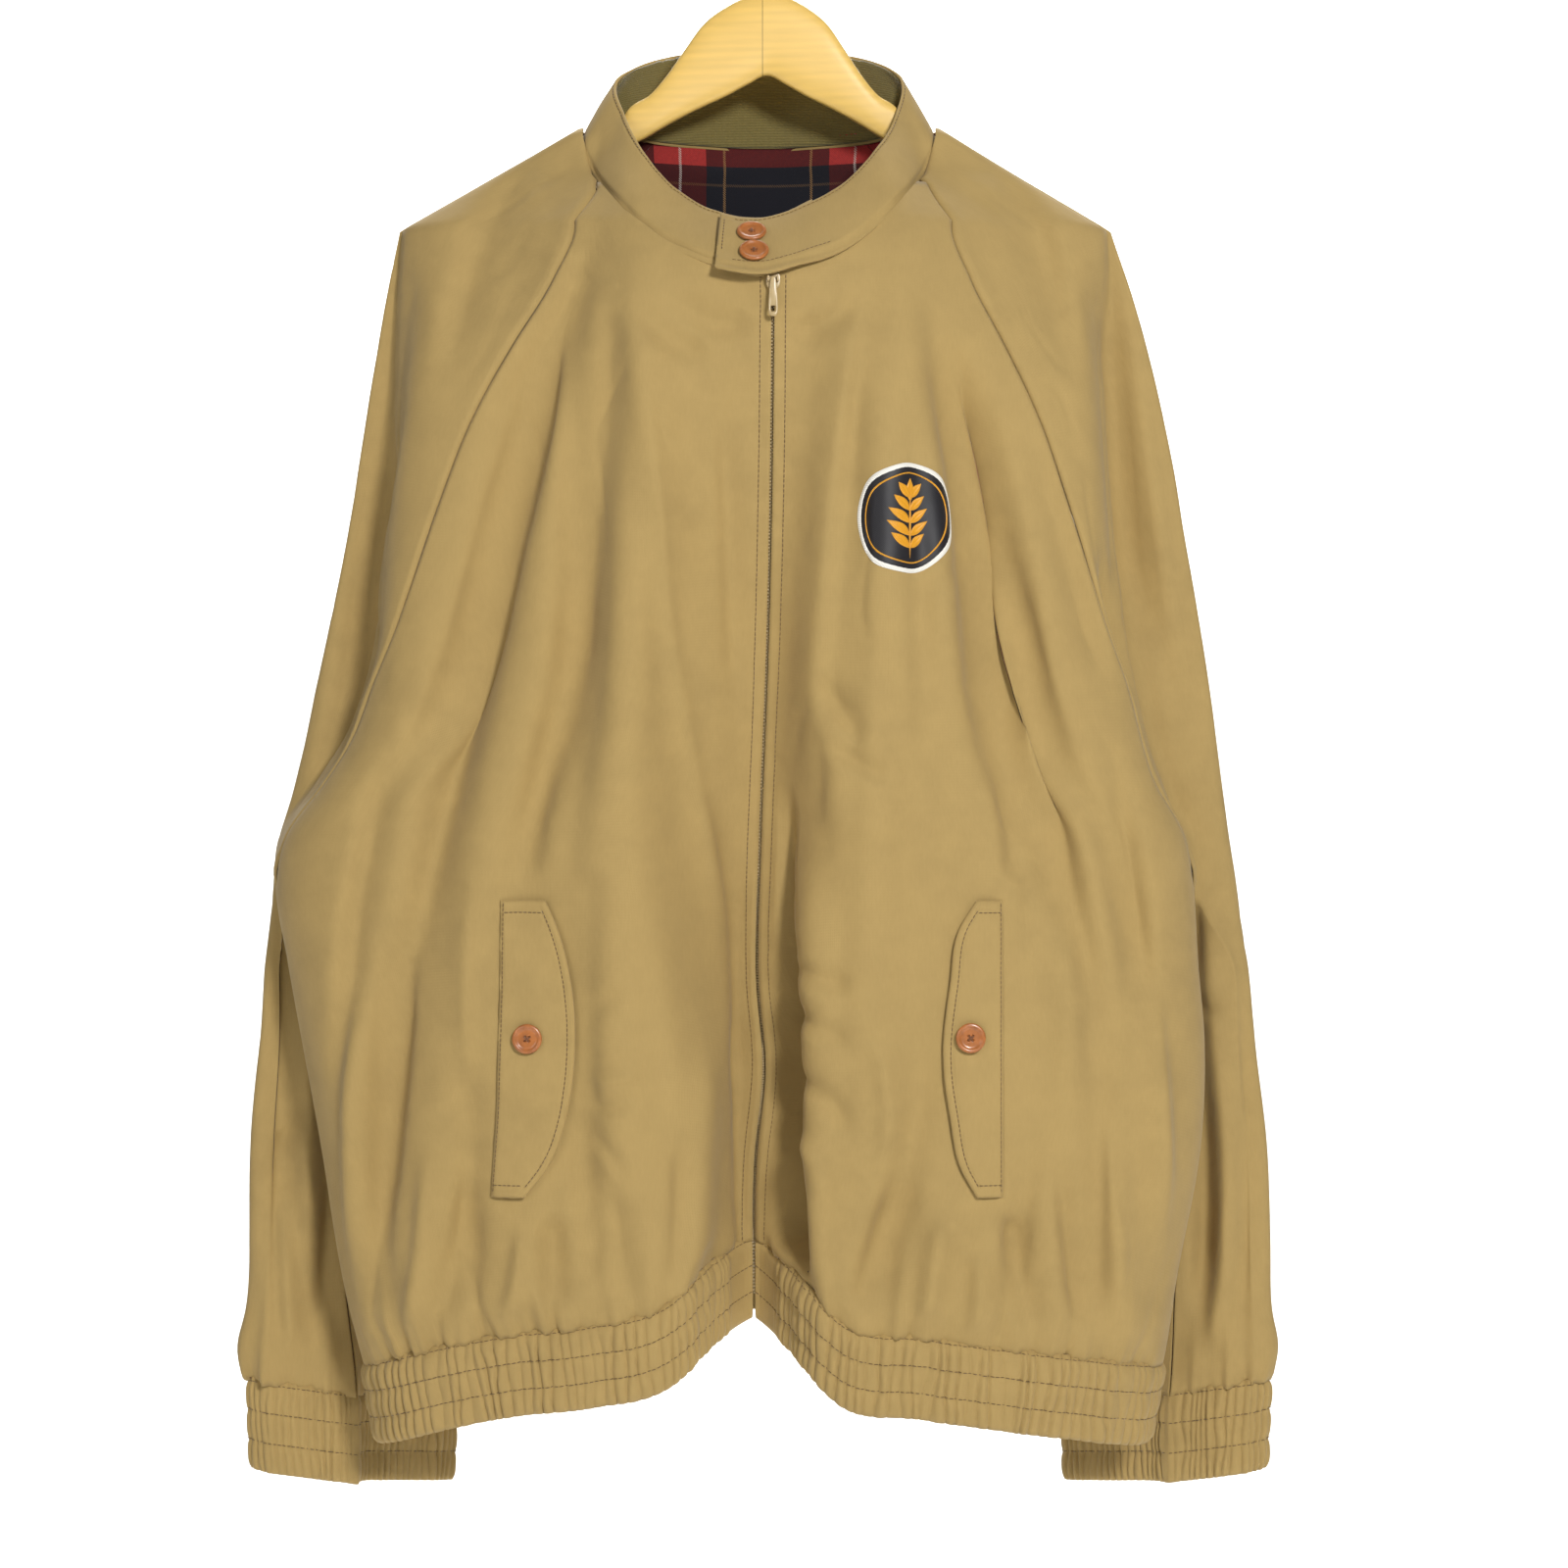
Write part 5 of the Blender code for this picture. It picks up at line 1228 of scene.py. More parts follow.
def rib_relief(u, t, count, total, seed, plain=None):
    """Ribs of a gathered elastic band: uneven crests |cos|^0.5 across it, pinched where the two rows of
    stitches hold it and puffed between them."""
    shift = 3.4 * lattice(u, t * 9, 13, seed) + 1.4 * lattice(u, t * 30, 9, seed + 1)
    wave = np.abs(np.cos((u + shift) * np.pi * count / total))
    tall = 0.75 + 0.35 * lattice(u, 0, 9, seed + 2)
    puff = 0.6 + 0.4 * np.abs(np.sin(3 * np.pi * np.clip(t, 0.0, 1.0))) ** 0.7
    relief = DETAIL["rib"] * wave ** 0.5 * tall * puff
    relief -= 0.5 * (bell(t, 1 / 3, 0.03) + bell(t, 2 / 3, 0.03))
    relief += 0.5 * lattice(u, t * 40, 30, seed + 3)
    if plain is not None:
        relief = relief * plain + 0.3 * (1 - plain)
    return relief


def band_rows(line, height, grip, count, drop=1.0):
    """Rows of points below a seam line: the band draws in towards the body's middle as it goes down, and its
    folded lower edge turns in."""
    t = np.linspace(0, 1, count)[:, None]
    grid = np.repeat(line[None], count, 0)
    grid[..., 0] += (MIRROR_X - grid[..., 0]) * grip * 0.45 * t
    grid[..., 1] += (-18 - grid[..., 1]) * grip * t
    grid[..., 2] -= drop + (height - drop) * t
    return grid, t


def band_wall(name, soft, out, relief, u, inward, materials, closed=False):
    """A band's wall. A row before its first lies up behind the seam: the allowance sewn to the panel
    above."""
    def tucked(grid):
        return np.concatenate([grid[:1] - out[:1] * inward + np.array([0, 0, ALLOWANCE]), grid])
    outer = tucked(soft + out * relief[..., None])
    inner = tucked(soft + out * np.minimum(relief - SHELL, -0.4)[..., None])
    z = np.concatenate([soft[:1], soft])[..., 2]
    cut = np.stack([np.broadcast_to(u * FULLNESS, z.shape), z], -1)
    piece = wall(name, outer, inner, *materials, closed=closed, uv=cut)
    return piece, outer, np.concatenate([out[:1], out])


def make_hem_band(part, materials):
    """The hem band in three parts, each hung from the lowest row of the panel above it."""
    count = 20
    if part == "back":
        columns = BACK_GATHERS * 18
        row = np.array([HEM_Z])
        right = back_point(-1, np.linspace(0, 1, 90)[None], row[:, None])[0]
        left = back_point(1, np.linspace(0, 1, 90)[None], row[:, None])[0]
        line = along_line(np.concatenate([right[:0:-1], left]), columns, 0.4, 0.4)
        inward, gathers_here = -1, BACK_GATHERS * GATHERS_DRAWN
    else:
        inward = 1 if part == "left" else -1
        columns = FRONT_GATHERS * 24
        line = front_point(inward, np.linspace(float(neck_share(inward, np.array([HEM_Z]))[0]), 1, 90), HEM_Z)
        line = along_line(line, columns, 0.0, 0.4)
        gathers_here = FRONT_GATHERS * GATHERS_DRAWN
    soft, t = band_rows(line, BAND_HEIGHT, GRIP, count)
    out = normals(soft, smooth=6) * -inward
    u = lengths(soft[:1], 1)[0]
    total = u[-1]
    if part == "back":
        ends = ease(np.minimum(u, total - u), 0, 6)
    else:
        ends = ease(u, 19, 27) * (1 - ease(u, total - 4, total))
    relief = rib_relief(u[None, :] + 0 * t, t + 0 * u, gathers_here, total, 111 + len(part), ends[None, :])
    relief -= 1.1 * bell(t, 1, 0.04) + 0.9 * bell(t, 0, 0.04)
    return band_wall(f"hem_band_{part}_cloth", soft, out, relief, u, 2.4, materials)


def make_cuff(side, materials):
    """A cuff: the sleeve's last ring, drawn in round its middle and gathered."""
    ring = sleeve_grid(side, np.array([CUFF_SEAM_Z + 4, CUFF_SEAM_Z]), 60, (12, 24, 36, 36, 24))[-1]
    columns = CUFF_GATHERS * 16
    line = along_line(ring, columns + 1)[:-1]
    middle = line.mean(0)
    t = np.linspace(0, 1, 26)[:, None]
    draw = (1 - 0.045 - 0.03 * t)[..., None]
    soft = np.repeat(line[None], 26, 0)
    soft[..., :2] = middle[:2] + (line[None, :, :2] - middle[:2]) * draw
    tilt = CUFF_TILT * np.abs(soft[..., 0] - edge_x(side, "outer", np.array(CUFF_SEAM_Z)))
    soft[..., 2] = CUFF_SEAM_Z - tilt - 0.4 - (CUFF_HEIGHT - 0.4) * t
    out = normals(soft, closed=True, smooth=8) * -side
    u = lengths(line[None], 1)[0]
    total = u[-1] + np.linalg.norm(line[0] - line[-1])
    relief = rib_relief(u[None, :] + 0 * t, t + 0 * u, round(CUFF_GATHERS * GATHERS_DRAWN), total, 131 + side)
    join = ease(np.minimum(u, total - u), 0, 8)[None, :]
    relief = relief * join + relief.mean() * (1 - join)
    relief -= 1.0 * bell(t, 1, 0.04) + 0.9 * bell(t, 0, 0.04)
    return band_wall(f"cuff_{side_name(side)}_cloth", soft, out, relief, u, 1.2, materials, closed=True)


# ---- Collar, lining and flaps ----

def collar_shell(turn, height):
    """The collar's outer face: its start is the tab, which stands out over its end and hangs a little
    lower."""
    turn, height = np.broadcast_arrays(np.asarray(turn, float), np.asarray(height, float))
    base = collar_point(turn, height)
    ahead, behind = collar_point(turn + 0.01, height), collar_point(turn - 0.01, height)
    n = np.cross(ahead - behind, base - collar_point(turn, height + 0.1))
    n = unit(n)
    lapped = (1 - ease(turn, 0.06, 0.28))[..., None]
    dropped = (1 - ease(turn, TAB_END, 0.06))[..., None] * np.array(TAB_DROP)
    raised = ease(turn, 0.98, LAP_END)[..., None] * np.array(LAP_RISE)
    return base - n * LAP_SPACE * lapped + dropped + raised


def make_collar(materials, knit):
    """The collar shell with its turned rim, and the ribbed knit that lines it."""
    turn = np.linspace(TAB_END, LAP_END, 350)
    height = np.concatenate([np.linspace(1.0, 0.05, 34), [0.02, -0.03, -0.09]])
    soft = collar_shell(turn[None, :], height[:, None])
    out = -normals(soft, smooth=3)
    tucked = ease(turn, 0.03, 0.07) * (1 - ease(turn, 0.26, 0.34) * ease(-turn, -0.74, -0.66))
    soft = soft - out * (1.9 * tucked * ease(-height, -0.05, 0.03)[:, None])[..., None]
    u = lengths(soft[:1], 1)[0]
    from_rim = lengths(soft, 0)
    deep = from_rim[-1:]
    relief = 0.7 * lattice(u[None, :], from_rim, 34, 151)
    relief += 0.45 * lattice(u[None, :], from_rim * 0.7, 12, 152)
    pucker = 0.3 * lattice(u[None, :], 0, 5.5, 153)
    relief += pucker * bell(from_rim, COLLAR_STITCH, 3.0)
    relief -= 0.45 * bell(from_rim, COLLAR_STITCH, 0.8)
    relief -= 1.1 * bell(height[:, None], 0.01, 0.04)
    ends = np.minimum(u, u[-1] - u)[None, :]
    rim = np.minimum(from_rim, ends)
    relief -= 0.6 * bell(rim, 0, 0.8)
    relief -= 0.3 * bell(ends, 3.0, 0.9) * (u[None, :] < u[-1] / 2)
    outer = soft + out * relief[..., None]
    inner = soft - out * (WALL - 0.1)
    cut = np.stack([u[None, :] + 0 * from_rim, -from_rim], -1)
    shell = wall("collar_cloth", outer, inner, materials[0], materials[0], uv=cut)
    turn = np.linspace(TAB_END, LAP_END, 560)
    behind = ease(turn, 0.2, 0.3) * ease(-turn, -0.8, -0.7)
    height = 1 - (1.02 + 0.09 * behind) * np.linspace(0, 1, 26)[:, None]
    base = collar_shell(turn + 0 * height, height)
    n = normals(base, smooth=3)
    tucked = (1 - ease(turn, 0.26, 0.34) * ease(-turn, -0.74, -0.66)) * ease(-height, -0.14, -0.04)
    face = base + n * (WALL + 2 * SEAM + 3.0 * tucked)[..., None]
    face = face[1:-1, 6:-6]
    n = n[1:-1, 6:-6]
    u = lengths(face[:1], 1)[0][None, :]
    v = lengths(face, 0)
    rib = 0.5 + 0.5 * np.cos((u + 1.2 * lattice(u, v, 30, 161)) * 2 * np.pi / KNIT_RIB)
    fuzz = 0.22 * lattice(u, v, 1.4, 162)
    relief = 0.42 * rib + fuzz + 0.5 * lattice(u, v, 26, 163)
    edge = bell(v, 0, 1.0)
    shown = face + n * (0.55 + relief - 0.2 * edge)[..., None]
    hidden = face + n * -0.1
    shown[0, :, 2] += 0.5 * lattice(u[0], v[0], 2.1, 164)
    cut = np.stack([u + 0 * v, -v], -1)
    facing = wall("collar_knit", shown, hidden, knit, knit, uv=cut)
    return shell, outer, out, facing


def make_lining(lining):
    """The checked lining inside the neck, on the back: a soft sheet with a few shallow folds."""
    rows = np.linspace(-155, -338, 60)
    share = np.linspace(-0.56, 0.56, 100)[None, :] + 0 * rows[:, None]
    right, left = (back_point(side, side * share, rows[:, None]) for side in (-1, 1))
    soft = np.where((share < 0)[..., None], right, left)
    soft[..., 1] -= WALL + 1.3
    out = -normals(soft, smooth=2)
    x, z = soft[..., 0], soft[..., 2]
    relief = 1.0 * lattice(x, z * 0.5, 42, 171) + 0.35 * lattice(x, z, 12, 172)
    relief += 1.6 * bell(z + 6 * lattice(x, 0, 40, 173), -176, 5)
    relief = np.clip(relief, -1.2, 3.0) * ease(-z, 158, 172) - 0.9 * (1 - ease(-z, 158, 170))
    outer = soft + out * relief[..., None]
    inner = soft + out * (relief - 0.9)[..., None]
    cut = np.stack([x, z], -1)
    return wall("lining_back_cloth", outer, inner, lining, lining, uv=cut)


def make_flap(side, materials):
    """A pocket flap: two turned layers sewn down at one edge, a little proud at the free edge, with a soft
    curl."""
    name = side_name(side)
    rows, columns = 120, 34
    z = np.linspace(FLAPS["z"][0], FLAPS["z"][-1], rows)
    stitched = side * read(FLAPS, f"{name}_stitched", z)
    free = side * read(FLAPS, f"{name}_free", z)
    t = np.linspace(0, 1, columns)[None, :]
    x = stitched[:, None] + (free - stitched)[:, None] * t
    share, nominal = share_of(side, x, z[:, None] + 0 * t)
    lift = FLAP_LIFT[name] + 1.8 * np.sin(np.pi * t / 2)
    wide = np.abs(free - stitched)[:, None]
    from_free = wide * (1 - t)
    from_end = np.minimum(z[0] - z, z - z[-1])[:, None]
    rim = np.minimum(from_free, from_end)
    relief = 0.35 * lattice(x, z[:, None], 22, 181 + side) + 0.3 * lattice(x, z[:, None], 8, 183 + side)
    relief -= 0.55 * bell(rim, FLAP_STITCH, 1.0)
    relief -= 0.9 * bell(rim, 0, 0.9)
    relief += 0.25 * lattice(z[:, None], 0, 6, 185) * bell(rim, FLAP_STITCH, 3)
    relief -= 1.4 * bell(wide * t, 0, 1.6)
    outer, out = front_surface(side, share, nominal, 0)
    base = outer.copy()
    outer = base + out * (lift + relief)[..., None]
    inner = base + out * (lift - 1.7)[..., None]
    cut = np.stack([x, z[:, None] + 0 * t], -1)
    return wall(f"pocket_flap_{name}_cloth", outer, inner, materials[0], materials[0], uv=cut), outer, out


# ---- Buttons, zip and hanger ----

BUTTON_FACE = table("along radius", [
    (0.0, 0.0), (0.0, 7.2), (0.15, 8.0), (0.6, 8.7), (1.2, 9.0), (1.8, 8.95), (2.25, 8.6), (2.5, 8.1),
    (2.6, 7.6), (2.5, 7.1), (2.1, 6.5), (1.75, 5.9), (1.6, 5.2), (1.6, 4.0), (1.6, 0.0)])


def make_button(name, centre, axis, material, turn_by=0.0):
    """A four-hole button: a turned profile with a raised rim; four dished holes are pressed into its
    middle."""
    axis = unit(np.asarray(axis, float))
    side = unit(np.cross(axis, [0, 0, 1.0]))
    up = np.cross(side, axis)
    segments = 64
    profile = np.linspace(0, 14, 43)[:39]
    radii, alongs = (np.interp(profile, np.arange(15), BUTTON_FACE[name]) for name in ("radius", "along"))
    radii = np.concatenate([radii, np.linspace(4.0, 0.15, 22)])
    alongs = np.concatenate([alongs, np.full(22, 1.6)])
    angle = circle(segments) + turn_by
    a, b = radii[:, None] * np.cos(angle), radii[:, None] * np.sin(angle)
    d = alongs[:, None] + 0 * a
    front = np.arange(len(radii))[:, None] > 20
    for k in range(4):
        hx, hy = 1.75 * np.cos(np.pi / 4 + k * np.pi / 2), 1.75 * np.sin(np.pi / 4 + k * np.pi / 2)
        r = np.hypot(a - hx, b - hy)
        d = np.where(front, d - 1.1 * (1 - ease(r, 0.55, 1.0)), d)
    points = np.asarray(centre) + axis * d[..., None] + side * a[..., None] + up * b[..., None]
    return tube(name, points, [centre, points[-1].mean(0)], material), side, up, axis


def fan(centre, start, columns):
    """Triangles from a centre to each edge of the ring of points that starts at a number."""
    j = np.arange(columns)
    return np.stack([np.full(columns, centre), start + j, start + (j + 1) % columns], -1).tolist()


def tube(name, grid, ends, material):
    """Rings of points joined to a tube, closed at each end by a fan round the given point."""
    rows, columns = grid.shape[:2]
    count = rows * columns
    faces = grid_faces(rows, columns, True).tolist() + fan(count, 0, columns)
    faces += fan(count + 1, count - columns, columns)
    return faced_mesh(name, np.concatenate([grid.reshape(-1, 3), ends]), faces, material)


def faced_mesh(name, points, faces, material, closed=True):
    """A mesh from a list of faces of any length; a closed one has its normals turned outwards."""
    mesh = bpy.data.meshes.new(name)
    mesh.from_pydata((np.asarray(points) * MM).tolist(), [], faces)
    mesh.materials.append(material)
    mesh.polygons.foreach_set("use_smooth", np.full(len(faces), True))
    mesh.update()
    if closed:
        turn_outwards(mesh)
    body = bpy.data.objects.new(name, mesh)
    bpy.context.scene.collection.objects.link(body)
    return body


def turn_outwards(mesh):
    """Makes the faces agree and point out of the closed mesh."""
    shaped = bmesh.new()
    shaped.from_mesh(mesh)
    bmesh.ops.recalc_face_normals(shaped, faces=shaped.faces)
    if shaped.calc_volume(signed=True) < 0:
        bmesh.ops.reverse_faces(shaped, faces=shaped.faces)
    shaped.to_mesh(mesh)
    shaped.free()


def button_threads(name, centre, side, up, axis, thread):
    """Two bars of thread that cross from hole to hole, each of three lengths."""
    centres, ways = [], []
    for sign in (-1, 1):
        for k in (-0.35, 0.0, 0.35):
            way = (side + sign * up) / np.sqrt(2)
            across = (side - sign * up) / np.sqrt(2)
            centres.append(np.asarray(centre) + axis * (1.75 + 0.12 * sign + 0.1 * (k == 0)) + across * k)
            ways.append(way)
    ups = np.repeat(axis[None], len(ways), 0)
    return capsules(name, np.array(centres), np.array(ways), ups, 4.2, 0.5, 0.5, [thread])


def plate(name, outline, thick, centre, material, hole=None, round_by=0.35):
    """A flat plate facing -Y: rings from the edge of its hole, over its faces, round its outline and back.

    outline and hole are rings of the same number of (x, z) points. Each ring is drawn in at the rim, so
    that the edges are rounded."""
    count = len(outline)
    middle = outline.mean(0) if hole is None else None
    inner = hole if hole is not None else middle + (outline - middle) * 0.02
    def ring(base, toward, share, y):
        spot = base + (toward - base) * share
        return np.stack([spot[:, 0], np.full(count, y), spot[:, 1]], -1)
    wide = np.linalg.norm(outline - inner, axis=1).mean()
    s = min(round_by / wide, 0.4)
    h = thick / 2
    rim = ((0, 1), (0.3, 0.3), (1, 0))
    turns = ((inner, outline, 1, rim), (outline, inner, 1, rim[::-1]),
             (outline, inner, -1, rim), (inner, outline, -1, rim[::-1]))
    rings = [ring(base, toward, s * share, face * (h - round_by * drop))
             for base, toward, face, steps in turns for share, drop in steps]
    grid = np.stack(rings) + np.asarray(centre)
    j = np.arange(count)
    k = (j + 1) % count
    last = (len(rings) - 1) * count
    loop = np.stack([last + j, j, k, last + k], -1)
    faces = np.concatenate([grid_faces(len(rings), count, True), loop]).tolist()
    return faced_mesh(name, grid.reshape(-1, 3), faces, material)


def rounded(width, height, corner, count=48, top_width=None):
    """A ring of points round a rounded rectangle, which may taper to its top: a superellipse."""
    angle = circle(count)
    c, s = np.cos(angle), np.sin(angle)
    size = (np.abs(c) ** corner + np.abs(s) ** corner) ** (-1 / corner)
    x, z = c * size * width / 2, s * size * height / 2
    if top_width is not None:
        x = x * (1 + (top_width / width - 1) * (z / height + 0.5))
    return np.stack([x, z], -1)


def make_zip(enamel, tape_cloth_gap_shade):
    """Tapes behind the fronts' edges, two rows of teeth, the slider with its bridge, and its pull."""
    rows = np.linspace(ZIP_TOP, HEM_Z, 220)
    for side in (-1, 1):
        x0 = read(ZIP, "x", rows)
        share = np.linspace(0.006, 0.034, 12)[None, :]
        soft, out = front_surface(side, share + 0 * rows[:, None], rows[:, None])
        band, _ = band_rows(soft[-1], BAND_HEIGHT, GRIP, 16)
        soft = np.concatenate([soft, band])
        out = np.concatenate([out, np.repeat(out[-1:], 16, 0)])
        outer, inner = soft - out * (WALL + 0.8), soft - out * (WALL + 1.7)
        name = f"zip_tape_{side_name(side)}_cloth"
        # The tapes take the near-black tape colour. This is painted shade: the tapes are real, but their dark
        # colour stands for the shadow in the slit between the fronts, where only the tape shows.
        tape = wall(name, outer, inner, tape_cloth_gap_shade, tape_cloth_gap_shade)
        finish_piece(tape, "tape", f"zip_tape_{side_name(side)}")
        z = np.arange(ZIP_TOP - 12, HEM_Z - 30, -2.1) - (1.05 if side > 0 else 0)
        at = np.clip(z, HEM_Z, 0)
        front, n = front_surface(side, at * 0 + 0.01, at)
        centres = np.stack([read(ZIP, "x", at) + side * 1.15, front[:, 1] + 2.2, z + (front[:, 2] - at)], -1)
        ways = np.repeat([[float(side), 0, 0]], len(z), 0)
        ups = np.repeat([[0, -1.0, 0]], len(z), 0)
        teeth = capsules(f"zip_teeth_{side_name(side)}", centres, ways, ups, 3.4, 1.35, 1.5, [enamel])
        finish_piece(teeth, "zip_metal")
    lo, hi = (np.array(c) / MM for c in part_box("zip_slider"))
    x, z = (lo[0] + hi[0]) / 2, PULL_Z - 1
    face = hi[1] - 3.8
    body = plate("slider_body", rounded(8, 10, 3.0, top_width=9.0), 3.4, (x, face + 1.9, z), enamel)
    finish_piece(body, "zip_metal", "zip_slider")
    for side in (-1, 1):
        place = (x + side * 2.9, lo[1] + 1.7, PULL_Z)
        ear = plate(f"slider_ear_{side_name(side)}", rounded(1.2, 3.6, 4.0), 3.2, place, enamel)
        finish_piece(ear, "zip_metal")
    pull_lo, pull_hi = (np.array(c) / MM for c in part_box("zip_pull"))
    middle = (pull_lo + pull_hi) / 2
    tall = pull_hi[2] - pull_lo[2]
    outline = rounded(PULL_WIDTH, tall, 3.6, 64, 3.7)
    hole = rounded(3.0, 3.4, 5.0, 64) + np.array([0, pull_lo[2] + 4.6 - middle[2]])
    pull = plate("pull_tab", outline, 1.5, middle, enamel, hole=hole)
    finish_piece(pull, "zip_metal", "zip_pull", body="zip_pull_tab")


def make_hanger(wood, steel):
    """The wooden hanger: superellipse sections along its reach, closed at its rounded ends; and its bent
    hook."""
    reach = HANGER["x"] / HANGER["x"].max()
    ends = np.concatenate([-HANGER_RIGHT * reach[:0:-1], HANGER_LEFT * reach])
    top = np.concatenate([HANGER["top"][:0:-1], HANGER["top"]])
    top = np.where(np.abs(ends) > 118, ridge_z(ends) - HANGER_DROP, top)
    under = np.concatenate([HANGER["under"][:0:-1], HANGER["under"]])
    x = np.linspace(ends[0], ends[-1], 260)
    tops, unders = along(x, ends, top), along(x, ends, under)
    angle = circle(36)
    across, up = np.cos(angle), np.sin(angle)
    square = (np.abs(across) ** 3 + np.abs(up) ** 3) ** (-1 / 3)
    from_end = np.minimum(x - x[0], x[-1] - x)
    tip = np.sqrt(1 - (1 - np.clip(from_end / 5.0, 0, 1)) ** 2) * 0.97 + 0.03
    grid = np.stack([
        np.repeat(x[:, None], 36, 1),
        across * square * HANGER_THICK / 2 * tip[:, None],
        ((tops + unders) / 2)[:, None] + up * square * ((tops - unders) / 2 * tip)[:, None]], -1)
    finish_piece(tube("hanger_wood", grid, [grid[0].mean(0), grid[-1].mean(0)], wood), "wood", "hanger_body")
    turn = np.radians(np.linspace(-52, 200, 70))
    radius = HOOK_INNER + HOOK_ROD
    bend = np.stack([radius * np.cos(turn), -HOOK_INNER + radius * np.sin(turn)], -1)
    stem = np.array([[(0, top.max() + 0.3), (0, -67), (0, -62), (1.5, -55), (7, -47.5)]])
    stem = catmull(stem, (6, 6, 6, 6))
    path = np.concatenate([stem[0], bend])
    way = np.gradient(path, axis=0)
    way = unit(way)
    way[0] = (0, 1)
    angle = circle(20)
    tip = np.ones(len(path))
    tip[-3:] = (0.92, 0.7, 0.3)
    flat = np.cos(angle)[None] * HOOK_ROD * tip[:, None]
    grid = np.stack([path[:, :1] + way[:, 1:] * flat, np.sin(angle)[None] * HOOK_ROD * tip[:, None],
                     path[:, 1:] - way[:, :1] * flat], -1)
    hook = tube("hanger_hook_wire", grid, [grid[0].mean(0), grid[-1].mean(0)], steel)
    finish_piece(hook, "steel", "hanger_hook")


# ---- Stitching and embroidery ----

def stitch_row(name, lines, thread, pitch=3.1, length=2.5, width=0.62, height=0.45):
    """Rows of machine stitches in one mesh: lines are pairs of points and outward directions."""
    parts = [seam_points(line, ups, pitch) for line, ups in lines]
    centre, way, up = (np.concatenate([p[k] for p in parts]) for k in range(3))
    return capsules(name, centre + up * 0.12, way, up, length, width, height, [thread])


def line_on(outer, out, columns, first=0, last=None):
    """A line down a grid at fractional columns, with its outward directions."""
    rows = np.arange(len(outer), dtype=float)[first:last]
    columns = np.broadcast_to(columns, (len(outer),))[first:last]
    return pick_line(outer, rows, columns), pick_line(out, rows, columns)


def across_on(outer, out, share, first=0, last=None, closed=False):
    """A line along a grid at a share of its height."""
    row = share * (len(outer) - 1)
    columns = np.arange(outer.shape[1], dtype=float)[first:last]
    line, ups = pick_line(outer, row + 0 * columns, columns), pick_line(out, row + 0 * columns, columns)
    if closed:
        line, ups = np.concatenate([line, line[:1]]), np.concatenate([ups, ups[:1]])
    return line, ups


def on_left_front(x, z, lift):
    """Points of the left front's face at x and z, lifted along its normals."""
    p, n = front_surface(1, *share_of(1, x, z))
    return p + n * lift[..., None]


def badge_patch(a, b, lift, rings, segments):
    """The badge's oval ground of close stitching: a polar grid out from its middle, rounded off at its
    rim."""
    r = np.linspace(0.02, 1, rings)[:, None]
    angle = circle(segments)[None, :]
    x, z = BADGE["x"] + a * r * np.cos(angle), BADGE["z"] + b * r * np.sin(angle)
    return on_left_front(x, z, lift - 0.25 * ease(r, 0.93, 1.0))


def badge_ring(inner, outer, lift, segments=160):
    """An oval band of satin stitch: a rounded section carried round an oval, between two pairs of radii."""
    t = np.linspace(0, 1, 9)[:, None]
    angle = circle(segments)[None, :]
    a, b = (inner[k] + (outer[k] - inner[k]) * t for k in range(2))
    satin = 0.05 * np.cos(angle * 220)
    x, z = BADGE["x"] + a * np.cos(angle), BADGE["z"] + b * np.sin(angle)
    return on_left_front(x, z, lift + 0.55 * np.sin(np.pi * t) + satin)


def badge_leaf(root, tip, wide, lift):
    """A leaf of satin stitch: across it a low arch, along it sin(pi t) wide, with a groove down its
    middle."""
    t = np.linspace(0.02, 0.98, 22)[:, None]
    s = np.linspace(-1, 1, 11)[None, :]
    root, tip = np.asarray(root, float), np.asarray(tip, float)
    way = tip - root
    across = np.array([-way[1], way[0]]) / np.hypot(*way)
    half = wide / 2 * np.sin(np.pi * t ** 0.85)
    x, z = (root[k] + way[k] * t + across[k] * half * s for k in range(2))
    return on_left_front(x, z, lift + 0.5 * (1 - s ** 2) ** 0.5 - 0.28 * bell(s, 0, 0.14))


# ---- Settings ----

def colour_setting(name, value, description):
    return FloatVectorProperty(name=name, subtype="COLOR", size=4, min=0, max=1, default=linear(value),
                               description=description)


def length_setting(name, value, description, low=0.0, high=20.0):
    description += ", in millimetres"
    return FloatProperty(name=name, default=value, min=low, max=high, description=description)


def share_setting(name, description):
    return FloatProperty(name=name, default=1.0, min=0, max=3, description=description)


def power_setting(name, value, description):
    return FloatProperty(name=name, default=value, min=0, subtype="POWER", description=description)


